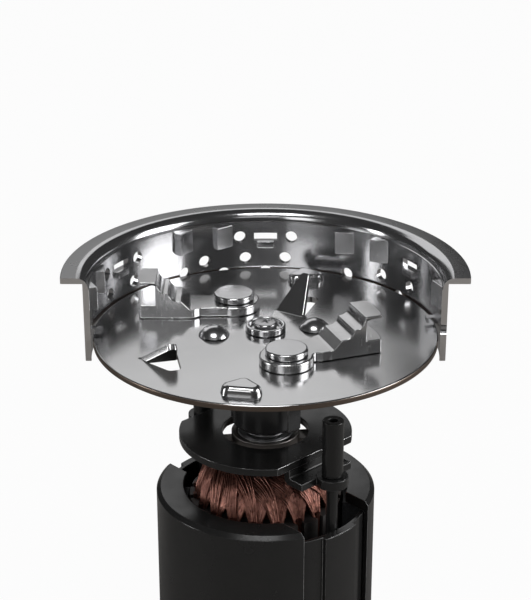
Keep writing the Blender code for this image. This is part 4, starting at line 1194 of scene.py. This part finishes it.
@dataclass
class DriveHub(SubAssembly):
    """The carrier under the table, the slinger below it and the two bearings."""

    radius: float = 12.9 * MM
    spigot: float = 4.9 * MM
    slinger: float = 8.6 * MM

    def build(self) -> None:
        """Model and dress the hub and what turns in the bearings."""
        low, high = levels("turntable_hub")[0], self.heights.table_under - GAP
        ledge = levels("rotor_shaft")[1] + GAP
        bore, thread = SHAFT + GAP, SCREW + GAP
        corners = [(bore, low, 0.0), (self.radius - 2.4 * MM, low, 0.3 * MM),
                   (self.radius, low + 2.0 * MM, 0.4 * MM), (self.radius, high - 4.2 * MM, 0.0),
                   (self.radius - 0.25 * MM, high - 4.0 * MM, 0.0),
                   (self.radius - 0.25 * MM, high, 0.3 * MM), (self.spigot, high, 0.0),
                   (self.spigot, self.heights.table_top, 0.3 * MM), (thread, self.heights.table_top, 0.0),
                   (thread, ledge, 0.0), (bore, ledge, 0.0)]
        hub = lathe("drive_hub", rounded(corners, 4), 96)
        pads = []
        for turn in ROD_SIDES:
            pad = brick("pad", (self.radius * 0.5, self.radius + 0.4 * MM), (-0.5 * MM, 6.3 * MM),
                        (low + 0.6 * MM, high - 2.2 * MM))
            pads.append(place(soften(pad, 0.3 * MM), turn=turn))
        combine(hub, pads, "UNION")
        hand_over(hub, self.finishes.hub, Body.ROTOR, ["turntable_hub"])
        for node in ("upper_bearing", "lower_bearing"):
            self._bearing(node)
        low, high = levels("oil_slinger")
        section = rounded([(bore, low, 0.0), (self.slinger, low, 0.35 * MM), (self.slinger, high, 0.35 * MM),
                           (bore, high, 0.0)], 3)
        slinger = lathe("slinger_disc", section, 72)
        hand_over(slinger, self.finishes.ground, Body.ROTOR, ["oil_slinger"])

    def _bearing(self, node: str) -> None:
        """A ball bearing: its outer race with a sunk shield, and its inner race."""
        low, high = levels(node + "_outer_race")
        bore = SHAFT + GAP
        inner = bore + 1.9 * MM
        corners = [(inner + 0.5 * MM, low + 0.4 * MM, 0.1 * MM), (9.2 * MM, low + 0.4 * MM, 0.1 * MM),
                   (9.5 * MM, low, 0.1 * MM), (BEARING, low, 0.5 * MM), (BEARING, high, 0.5 * MM),
                   (9.5 * MM, high, 0.1 * MM), (9.2 * MM, high - 0.4 * MM, 0.1 * MM),
                   (inner + 0.5 * MM, high - 0.4 * MM, 0.1 * MM)]
        outer_race = lathe(node + "_outer", rounded(corners, 3), 96)
        hand_over(outer_race, self.finishes.ground, Body.FRAME, [node + "_outer_race"])
        section = rounded([(bore, low, 0.3 * MM), (inner, low, 0.15 * MM), (inner, high, 0.15 * MM),
                           (bore, high, 0.3 * MM)], 3)
        hand_over(lathe(node + "_inner", section, 72), self.finishes.ground, Body.ROTOR,
                  [node + "_inner_race"])


@dataclass
class Bridge(SubAssembly):
    """The bracket over the motor, the spider that holds the upper bearing, the posts and the tie rods."""

    plate: float = 3.0 * MM
    bore: float = 17.0 * MM
    foot_width: float = 6.4 * MM
    foot_half: float = 13.4 * MM
    drop: float = 6.6 * MM
    ear: float = 6.2 * MM
    ear_seat: float = 0.4 * MM
    rod: float = 2.3 * MM
    rod_end: float = 1.85 * MM
    ear_out: float = 2.9 * MM
    screw: float = 1.2 * MM
    hold: float = 4.0 * MM
    spider_arms: tuple[float, ...] = (8.0, 188.0)

    def build(self) -> None:
        """Model and dress the bracket and all that it holds."""
        hand_over(self._bracket(), self.finishes.enamel, Body.FRAME, ["top_bracket"], 30.0)
        hand_over(self._spider(), self.finishes.zinc, Body.FRAME, ["bearing_spider"])
        for end in ("front", "rear"):
            self._post_and_rod(end)
        for side in ("right", "left"):
            self._spider_screw(side)

    def _bracket(self) -> Piece:
        """The plate with its chords, webs, feet and ears."""
        top = self.heights.bracket_top
        under = top - self.plate
        foot_top = top - self.drop
        foot_under = foot_top - self.plate
        radius = middle_of("standoff_post_front").length - self.ear_out
        chord = radius - self.foot_width
        ear_at = radius + self.ear_out
        corners = [(self.bore, under, 0.25 * MM), (radius, under, 0.25 * MM), (radius, top, 0.3 * MM),
                   (self.bore, top, 0.3 * MM)]
        bracket = lathe("bridge_bracket", rounded(corners, 3), 160)
        feet: list[Piece] = []
        for turn in ROD_SIDES:
            trim = brick("trim", (chord, radius + PAST), (-radius, radius), (under - PAST, top + PAST))
            combine(bracket, [place(trim, turn=turn)], "DIFFERENCE")
            outer = chord - GAP
            side = [(outer - self.plate, foot_under, 2.4 * MM), (radius, foot_under, 0.25 * MM),
                    (radius, foot_top, 0.25 * MM), (outer, foot_top, 0.7 * MM), (outer, under + SINK, 0.0),
                    (outer - self.plate, under + SINK, 0.0)]
            foot = place(slab("foot", rounded(side, 5), -self.foot_half, self.foot_half), tilt=90.0)
            soften(foot, 0.25 * MM, 2, 60.0)
            ear_low, ear_high = foot_under - self.ear_seat, foot_top + self.ear_seat
            section = rounded([(0.0, ear_low, 0.0), (self.ear, ear_low, 0.25 * MM),
                               (self.ear, ear_high, 0.3 * MM), (0.0, ear_high, 0.0)], 3)
            ear = place(lathe("ear", section, 64), Vector((ear_at, 0, 0)))
            feet += [place(foot, turn=turn), place(ear, turn=turn)]
        combine(bracket, feet, "UNION")
        holes = [through("rod_hole", polar(ear_at, turn), self.rod_end + GAP, foot_under, foot_top, 32)
                 for turn in ROD_SIDES]
        holes += [drum("screw_hole", polar(self.bore + self.hold, turn), self.screw + GAP, under - PAST,
                       under + 2.0 * MM, 24) for turn in self.spider_arms]
        return combine(bracket, [gather("holes", holes)], "DIFFERENCE")

    def _spider(self) -> Piece:
        """The bearing's cup and its two arms."""
        low, high = levels("upper_bearing_outer_race")
        inner, fit, outer = 9.8 * MM, BEARING + GAP, 13.4 * MM
        floor = low - GAP - 1.0 * MM
        corners = [(inner, floor, 0.2 * MM), (outer, floor, 0.6 * MM), (outer, high, 0.4 * MM),
                   (fit, high, 0.2 * MM), (fit, low - GAP, 0.0), (inner, low - GAP, 0.0)]
        cup = lathe("bearing_cup", rounded(corners, 4), 96)
        arm_top = self.heights.bracket_top - self.plate - GAP
        arm_low = arm_top - 2.0 * MM
        hold = self.bore + self.hold
        root, tip, half = 12.2 * MM, hold + 3.2 * MM, 4.0 * MM
        corners = [(root, -half, 0.0), (tip, -half, 2.2 * MM), (tip, half, 2.2 * MM), (root, half, 0.0)]
        arms = [place(soften(slab("arm", rounded(corners, 6), arm_low, arm_top), 0.3 * MM, 2, 50.0),
                      turn=turn) for turn in self.spider_arms]
        combine(cup, arms, "UNION")
        holes = [through("screw_hole", polar(hold, turn), self.screw + GAP, arm_low, arm_top, 24)
                 for turn in self.spider_arms]
        return combine(cup, [gather("holes", holes)], "DIFFERENCE")

    def _spider_screw(self, side: str) -> None:
        """A pan-head screw under one arm of the spider."""
        node = "spider_screw_" + side
        low, high = levels(node)
        seat, head = low + 1.6 * MM, 2.4 * MM
        corners = [(0.0, low, 0.0), (head, low, 0.8 * MM), (head, seat, 0.1 * MM), (self.screw, seat, 0.0),
                   (self.screw, high, 0.2 * MM), (0.0, high, 0.0)]
        screw = lathe(node + "_head", rounded(corners, 4), 48)
        long, thin = (-1.3 * MM, 1.3 * MM), (-0.25 * MM, 0.25 * MM)
        recess = [brick("bar", *plan, (low - PAST, low + 0.8 * MM)) for plan in ((long, thin), (thin, long))]
        combine(screw, recess, "DIFFERENCE")
        place(screw, middle_of(node))
        hand_over(screw, self.finishes.ground, Body.FRAME, [node])

    def _post_and_rod(self, end: str) -> None:
        """A post on its ear, and the tie rod that comes up into it."""
        node = "standoff_post_" + end
        at = middle_of(node)
        low, high = levels(node)
        thread, outer, bore, depth = self.rod_end + GAP, 4.1 * MM, 1.75 * MM, 9.0 * MM
        corners = [(thread, low, 0.0), (outer, low, 0.25 * MM), (outer, high, 0.4 * MM),
                   (bore, high, 0.3 * MM), (bore, high - depth, 0.0), (0.0, high - depth, 0.0),
                   (0.0, low + depth, 0.0), (thread, low + depth, 0.0)]
        post = place(lathe("post_" + end, rounded(corners, 4), 72), at)
        hand_over(post, self.finishes.post, Body.FRAME, [node])
        node = "tie_rod_" + end
        low, high = levels(node)
        shoulder = self.heights.bracket_top - self.drop - self.plate - self.ear_seat - GAP
        head = low + 2.9 * MM
        corners = [(0.0, head - SINK, 0.0), (self.rod, head - SINK, 0.0), (self.rod, shoulder, 0.2 * MM),
                   (self.rod_end, shoulder, 0.0), (self.rod_end, high, 0.3 * MM), (0.0, high, 0.0)]
        rod = place(lathe("rod_" + end, rounded(corners, 3), 48), at)
        hexagon = soften(slab("head", arc(0, 0, 4.0 * MM, 0.0, 300.0, 5), low, head), 0.25 * MM)
        combine(rod, [place(hexagon, at)], "UNION")
        hand_over(rod, self.finishes.post, Body.FRAME, [node])


# ------------------------------------------------------------------ motor

@dataclass
class MotorShell(SubAssembly):
    """The outer shell with its notched shoulder, the can inside it and the cap below."""

    radius: float = 43.4 * MM
    bore: float = 32.5 * MM
    wall: float = 1.8 * MM
    shoulder_thick: float = 4.6 * MM
    chamfer: float = 1.6 * MM
    notch_half: float = 17.5 * MM
    notch_low: float = 18.0 * MM
    lobe_half: float = 8.3 * MM
    cap: float = 6.0 * MM

    def build(self) -> None:
        """Model and dress the three shells."""
        for make, node in ((self._shell, "housing_shell"), (self._can, "field_can"), (self._cap, "base_cap")):
            hand_over(make(), self.finishes.enamel, Body.FRAME, [node], 30.0)

    def _windows(self) -> list[Piece]:
        """Cutters for the two openings that the terminals come out of."""
        low = levels("terminal_left")[0] - 0.9 * MM
        return [place(brick("window", (self.radius * 0.8, self.radius + PAST), (-4.6 * MM, 4.6 * MM),
                            (low, low + 3.2 * MM)), turn=ROD_SIDES[0] + side) for side in (90.0, -90.0)]

    def _shell(self) -> Piece:
        """The shell: a thick shoulder with a broad chamfer, and a wide notch over each tie rod."""
        low, top = self.cap + GAP, self.heights.shoulder
        inner = self.radius - self.wall
        under = top - self.shoulder_thick
        corners = [(inner, low, 0.0), (self.radius, low, 0.3 * MM),
                   (self.radius, top - self.chamfer, 0.35 * MM), (self.radius - self.chamfer, top, 0.35 * MM),
                   (self.bore, top, 0.5 * MM), (self.bore, under, 0.4 * MM), (inner, under, 0.0)]
        shell = lathe("motor_shell", rounded(corners, 4), 192)
        notches = []
        for turn in ROD_SIDES:
            notch = brick("notch", (self.bore * 0.5, self.radius + PAST), (-self.notch_half, self.notch_half),
                          (self.notch_low, top + PAST))
            notches.append(place(notch, turn=turn))
        combine(shell, notches, "DIFFERENCE")
        return combine(shell, self._windows(), "DIFFERENCE")

    def _can(self) -> Piece:
        """The can that holds the magnets, with a lobe over each tie rod."""
        low, top = self.cap + GAP, levels("field_can")[1]
        outer = self.radius - self.wall - GAP
        inner = outer - 1.8 * MM
        corners = [(inner, low, 0.0), (outer, low, 0.0), (outer, top, 0.3 * MM), (inner, top, 0.4 * MM)]
        can = lathe("magnet_can", rounded(corners, 3), 192)
        for turn in ROD_SIDES:
            lobe = brick("lobe", (inner + SINK, self.radius + PAST), (-self.lobe_half, self.lobe_half),
                         (self.notch_low + GAP, top - 0.02 * MM))
            place(lobe, turn=turn)
            side = through("round", Vector(), self.radius - 0.4 * MM, low, top, 192)
            combine(lobe, [side], "INTERSECT")
            soften(lobe, 0.4 * MM, 3, 50.0)
            combine(can, [lobe], "UNION")
        return combine(can, self._windows(), "DIFFERENCE")

    def _cap(self) -> Piece:
        """The cap that the motor stands on, with the lower bearing's cup and the rods' seats."""
        cup = 13.4 * MM
        seat, cup_top = levels("lower_bearing_outer_race")
        floor, spigot = 2.6 * MM, self.radius - 2 * self.wall - 2 * GAP
        corners = [(0.0, 0.0, 0.0), (self.radius, 0.0, 0.8 * MM), (self.radius, self.cap, 0.3 * MM),
                   (spigot, self.cap, 0.0), (spigot, self.cap + 2.0 * MM, 0.3 * MM),
                   (spigot - 2.0 * MM, self.cap + 2.0 * MM, 0.3 * MM), (spigot - 2.0 * MM, floor, 0.6 * MM),
                   (cup, floor, 0.6 * MM), (cup, cup_top, 0.4 * MM), (BEARING + GAP, cup_top, 0.2 * MM),
                   (BEARING + GAP, seat - GAP, 0.0), (0.0, seat - GAP, 0.0)]
        cap = lathe("motor_cap", rounded(corners, 4), 160)
        boss, rod_head, head_seat = 5.6 * MM, 4.0 * MM, 3.9 * MM
        bosses = [drum("boss", polar(spigot - boss - GAP, turn), boss, 1.0 * MM, self.cap + 1.0 * MM)
                  for turn in ROD_SIDES]
        combine(cap, bosses, "UNION")
        at = middle_of("tie_rod_front").length
        cuts = [drum("rod_hole", polar(at, turn), 2.6 * MM, head_seat - PAST, self.cap + 2 * PAST, 32)
                for turn in ROD_SIDES]
        cuts += [drum("head_seat", polar(at, turn), rod_head + 2 * GAP, -PAST, head_seat)
                 for turn in ROD_SIDES]
        return combine(cap, cuts, "DIFFERENCE")


@dataclass
class Armature(SubAssembly):
    """The slotted core, the copper wound through it, and the commutator."""

    radius: float = 30.2 * MM
    slots: int = 20
    slot_depth: float = 7.5 * MM
    slot_mouth: float = 2.8 * MM
    throw: int = 7
    strands: int = 12
    layers: int = 2
    wire: float = 0.34 * MM
    rise: float = 16.2 * MM
    skirt: float = 1.2 * MM
    eye: float = 12.5 * MM
    reach: float = 29.3 * MM

    def build(self) -> None:
        """Model and dress what is wound on the shaft."""
        low, top = levels("armature_core")
        hand_over(self._core(low, top), self.finishes.core, Body.ROTOR,
                  ["armature_core"], 30.0)
        heap = lathe("coil_heap", self._heap_section(top), 80)
        bars = [place(brick("bar", (self.radius - self.slot_depth + GAP, self.radius - 1.2 * MM),
                            (-1.0 * MM, 1.0 * MM), (low - 1.6 * MM, top + 1.6 * MM)),
                      turn=(i + 0.5) * 360.0 / self.slots) for i in range(self.slots)]
        under = lathe("lower_heap", self._lower_section(low), 80)
        combine(heap, [gather("bars", bars), under], "UNION")
        hand_over(heap, self.finishes.heap, Body.ROTOR, ["armature_winding"], 40.0)
        hand_over(self._coils(top), self.finishes.wire, Body.ROTOR, (), 60.0, False)
        hand_over(self._commutator(), self.finishes.bars, Body.ROTOR, ["commutator"])

    def _core(self, low: float, high: float) -> Piece:
        """The stack of slotted sheets."""
        pitch = 360.0 / self.slots
        root = self.radius - self.slot_depth
        outline: list[Point] = []
        for i in range(self.slots):
            half_mouth = math.degrees(math.asin(self.slot_mouth / 2 / self.radius))
            half_root = math.degrees(math.asin(self.slot_mouth / 2 / root))
            first, last = (i - 0.5) * pitch, (i + 0.5) * pitch
            outline.append(tuple(polar(root, first + half_root).xy))
            outline += arc(0, 0, self.radius, first + half_mouth, last - half_mouth, 6)
            outline.append(tuple(polar(root, last - half_root).xy))
        core = slab("lamination_stack", outline, low, high)
        return combine(core, [through("bore", Vector(), SHAFT + GAP, low, high)], "DIFFERENCE")

    def _dome(self, radius: float) -> float:
        """How high the coils stand at a radius, above the core's top."""
        share = min(max((radius - self.eye) / (self.radius - self.eye), 0.0), 1.0)
        return self.skirt + (self.rise - self.skirt) * (1.0 - share ** 2.4)

    def _heap_section(self, top: float) -> list[Point]:
        """Half section of the bound heap that the outer coils lie on."""
        radii = [(24.4 - 0.9 * i) * MM for i in range(14)]
        crown = [(r, top + self._dome(r) - 3.4 * MM) for r in radii]
        inner = 8.0 * MM
        return [(inner, top + 1.0 * MM), (radii[0], top + 1.0 * MM), *crown, (inner, crown[-1][1])]

    def _lower_section(self, low: float) -> list[Point]:
        """Half section of the end turns below the core."""
        high = low - 1.0 * MM
        bottom, outer, inner = high - 9.0 * MM, 29.4 * MM, 8.0 * MM
        corners = [(self.eye, bottom, 0.8 * MM), (22.5 * MM, bottom, 4.0 * MM),
                   (outer, high - 3.0 * MM, 2.5 * MM), (outer, high, 0.0), (inner, high, 0.0),
                   (inner, high - 1.0 * MM, 0.0), (self.eye, high - 1.0 * MM, 0.0)]
        return rounded(corners, 5)

    def _coils(self, top: float) -> Piece:
        """Bundles of wire that leave one slot and cross to another, each over the next."""
        curve = bpy.data.curves.new("end_coils", "CURVE")
        curve.dimensions = "3D"
        curve.bevel_depth = self.wire
        curve.bevel_resolution = 1
        curve.use_fill_caps = True
        chance = random.Random(5)
        for slot in range(self.slots):
            start = (slot + 0.5) * 360.0 / self.slots
            for layer in range(self.layers):
                for strand in range(self.strands):
                    self._strand(curve, top, start, layer, strand, chance)
        deselect()
        coils = bpy.data.objects.new("end_coils", curve)
        bpy.context.collection.objects.link(coils)
        focus(coils)
        bpy.ops.object.convert(target="MESH")
        coils = bpy.context.object
        edit(coils)
        return close(coils)

    def _strand(self, curve: bpy.types.Curve, top: float, start: float, layer: int, strand: int,
                chance: random.Random) -> None:
        """Add one wire of a bundle.

        Args:
            curve: the curve that holds every wire.
            top: the height of the core's top.
            start: the angle of the slot that it leaves, in degrees.
            layer: which layer of its bundle it lies in.
            strand: its place across the bundle.
            chance: the source of its small wanderings.
        """
        span = math.radians(self.throw * 360.0 / self.slots)
        first = polar(28.2 * MM, start)
        last = Matrix.Rotation(span, 3, "Z") @ first
        across = (strand - (self.strands - 1) / 2) / self.strands
        wander = chance.uniform(-0.8, 0.8) * MM
        lift = chance.uniform(-0.1, 0.6) * MM - layer * 0.9 * MM
        count = 26
        spline = curve.splines.new("POLY")
        spline.points.add(count - 1)
        side = (last - first).cross(Vector((0, 0, 1))).normalized()
        for i, point in enumerate(spline.points):
            t = i / (count - 1)
            arch = math.sin(math.pi * t)
            spread = (2.3 + 6.6 * arch ** 0.8) * MM
            at = first.lerp(last, t) + side * (across * spread + (wander + 1.3 * MM) * arch)
            radius = Vector((at.x, at.y)).length
            plunge = max(1.0 - min(t, 1.0 - t) / 0.11, 0.0) ** 1.6 * 6.5 * MM
            height = top + self._dome(radius) + lift + (2.6 * t - 2.2) * MM - plunge
            if radius > self.reach:
                at *= self.reach / radius
            point.co = (at.x, at.y, max(height, top - 4.0 * MM), 1.0)

    def _commutator(self) -> Piece:
        """The drum of copper bars, with a cut between each two."""
        low, high = levels("commutator")
        bore, outer = SHAFT + GAP, 11.0 * MM
        corners = [(bore, low, 0.0), (outer, low, 0.4 * MM), (outer, high, 0.3 * MM), (bore, high, 0.0)]
        barrel = lathe("commutator_drum", rounded(corners, 3), 80)
        cuts = [place(brick("cut", (10.3 * MM, 12.0 * MM), (-0.2 * MM, 0.2 * MM), (low - PAST, high + PAST)),
                      turn=i * 360.0 / self.slots) for i in range(self.slots)]
        return combine(barrel, [gather("cuts", cuts)], "DIFFERENCE")


@dataclass
class InnerParts(SubAssembly):
    """The solids that keep their own shape and only get a finish."""

    def build(self) -> None:
        """Give each solid that still shows its finish."""
        dressed = {"rotor_shaft": self.finishes.ground, "winding_insulator_top": self.finishes.board,
                   "winding_insulator_bottom": self.finishes.board, "magnet_left": self.finishes.ferrite,
                   "magnet_right": self.finishes.ferrite, "brush_card": self.finishes.board}
        for side in ("left", "right"):
            dressed["carbon_brush_" + side] = self.finishes.carbon
            dressed["brush_holder_" + side] = self.finishes.brass
            dressed["brush_spring_" + side] = self.finishes.spring
            dressed["terminal_" + side] = self.finishes.brass
        for name, finish in dressed.items():
            node = bpy.data.objects[name]
            node.data.materials.clear()
            node.data.materials.append(finish)
            log.info("%s: dressed", name)


# ------------------------------------------------------------------ studio

@dataclass
class Studio:
    """The pale floor, the soft lights and the camera."""

    look_down: float = 22.46
    distance: float = 625.5 * MM
    aim_height: float = 144.0 * MM
    aim_up: float = 11.53 * MM
    focal: float = 97.86
    light_distance: float = 1.1
    surround: float = 0.05

    def build(self) -> None:
        """Set up the floor, the world, the lights and the camera."""
        self._floor()
        self._world()
        self._lights()
        self._camera()

    def _floor(self) -> None:
        """A wide floor that is pale to the eye and lights little from below."""
        deselect()
        bpy.ops.mesh.primitive_plane_add(size=12.0, location=(0, 0, 0))
        floor = bpy.context.object
        floor.name = "studio_floor"
        material = bpy.data.materials.new("studio_floor")
        material.use_nodes = True
        net = Net(material.node_tree)
        shader = material.node_tree.nodes["Principled BSDF"]
        net.feed(shader, {"Base Color": (0.26, 0.25, 0.24, 1.0), "Roughness": 0.9})
        glow = net.add("Emission", {"Color": (1.0, 1.0, 1.0, 1.0), "Strength": 1.0})
        seen = net.add("LightPath").outputs["Is Camera Ray"]
        mixed = net.add("MixShader", {0: net.maths("MULTIPLY", seen, 0.97), 1: shader.outputs[0],
                                      2: glow.outputs[0]})
        net.feed(material.node_tree.nodes["Material Output"], {"Surface": mixed.outputs[0]})
        floor.data.materials.append(material)

    def _world(self) -> None:
        """A surround that is pale to the eye and lights little, and whites that may run up to full."""
        world = bpy.data.worlds.new("studio")
        world.use_nodes = True
        net = Net(world.node_tree)
        seen = net.add("LightPath").outputs["Is Camera Ray"]
        net.feed(world.node_tree.nodes["Background"], {
            "Color": (1.0, 1.0, 1.0, 1.0), "Strength": net.between(seen, (0.0, 1.0), (self.surround, 1.0))})
        bpy.context.scene.world = world
        bpy.context.scene.view_settings.view_transform = "Standard"

    def _lights(self) -> None:
        """Soft boxes: three broad ones, a strip on the left, and two weak ones in front."""
        for box in (("back", 110.0, 34.0, (1.0, 0.46), 0.70),
                    ("right", 349.0, 20.0, (0.62, 0.80), 4.0),
                    ("overhead", 262.0, 66.0, (0.5, 0.30), 8.0),
                    ("left_strip", 190.0, 4.0, (0.18, 0.70), 6.0),
                    ("front_left", 246.0, 22.0, (0.34, 0.5), 1.5),
                    ("front", 275.0, 34.0, (0.5, 0.3), 0.5)):
            self._soft_box(*box)

    def _soft_box(self, name: str, azimuth: float, elevation: float, size: Point, radiance: float) -> None:
        """Place a soft box that faces the turntable.

        Args:
            name: the light's name.
            azimuth: its direction from the shaft, in degrees.
            elevation: its height above the turntable, in degrees.
            size: its width and its height.
            radiance: how bright its face is.
        """
        rise = math.radians(elevation)
        level = polar(self.light_distance * math.cos(rise), azimuth)
        at = level + Vector((0, 0, self.aim_height + self.light_distance * math.sin(rise)))
        light = bpy.data.lights.new(name, "AREA")
        light.shape = "RECTANGLE"
        light.size, light.size_y = size
        light.energy = 4.0 * radiance * size[0] * size[1]
        lamp = bpy.data.objects.new(name, light)
        lamp.location = at
        lamp.rotation_euler = (Vector((0, 0, self.aim_height)) - at).to_track_quat("-Z", "Y").to_euler()
        bpy.context.collection.objects.link(lamp)

    def _camera(self) -> None:
        """The camera, looking down along the cut side's middle."""
        down = math.radians(self.look_down)
        aim = Vector((0.0, 0.0, self.aim_height)) + self.aim_up * Vector((0, math.sin(down), math.cos(down)))
        camera = bpy.data.cameras.new("view")
        camera.lens = self.focal
        camera.sensor_width = 36.0
        camera.clip_start = 0.01
        eye = bpy.data.objects.new("view", camera)
        eye.location = aim - self.distance * Vector((0, math.cos(down), -math.sin(down)))
        eye.rotation_euler = (math.radians(90.0) - down, 0.0, 0.0)
        bpy.context.collection.objects.link(eye)
        bpy.context.scene.camera = eye


def main() -> None:
    """Load the solids and build every sub-assembly over them."""
    logging.basicConfig(level=logging.INFO, format="%(name)s: %(message)s")
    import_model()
    heights = Heights.of_model()
    Studio().build()
    finishes = Finishes()
    ShredderRing(finishes, heights).build()
    Turntable(finishes, heights).build()
    SwivelLug(finishes, heights, "front", Body.FRONT_LUG, 20.6).build()
    SwivelLug(finishes, heights, "rear", Body.REAR_LUG, 180.0).build()
    for made in (TableFasteners, DriveHub, Bridge, MotorShell, Armature, InnerParts):
        made(finishes, heights).build()
    deselect()


if __name__ == "__main__":
    main()
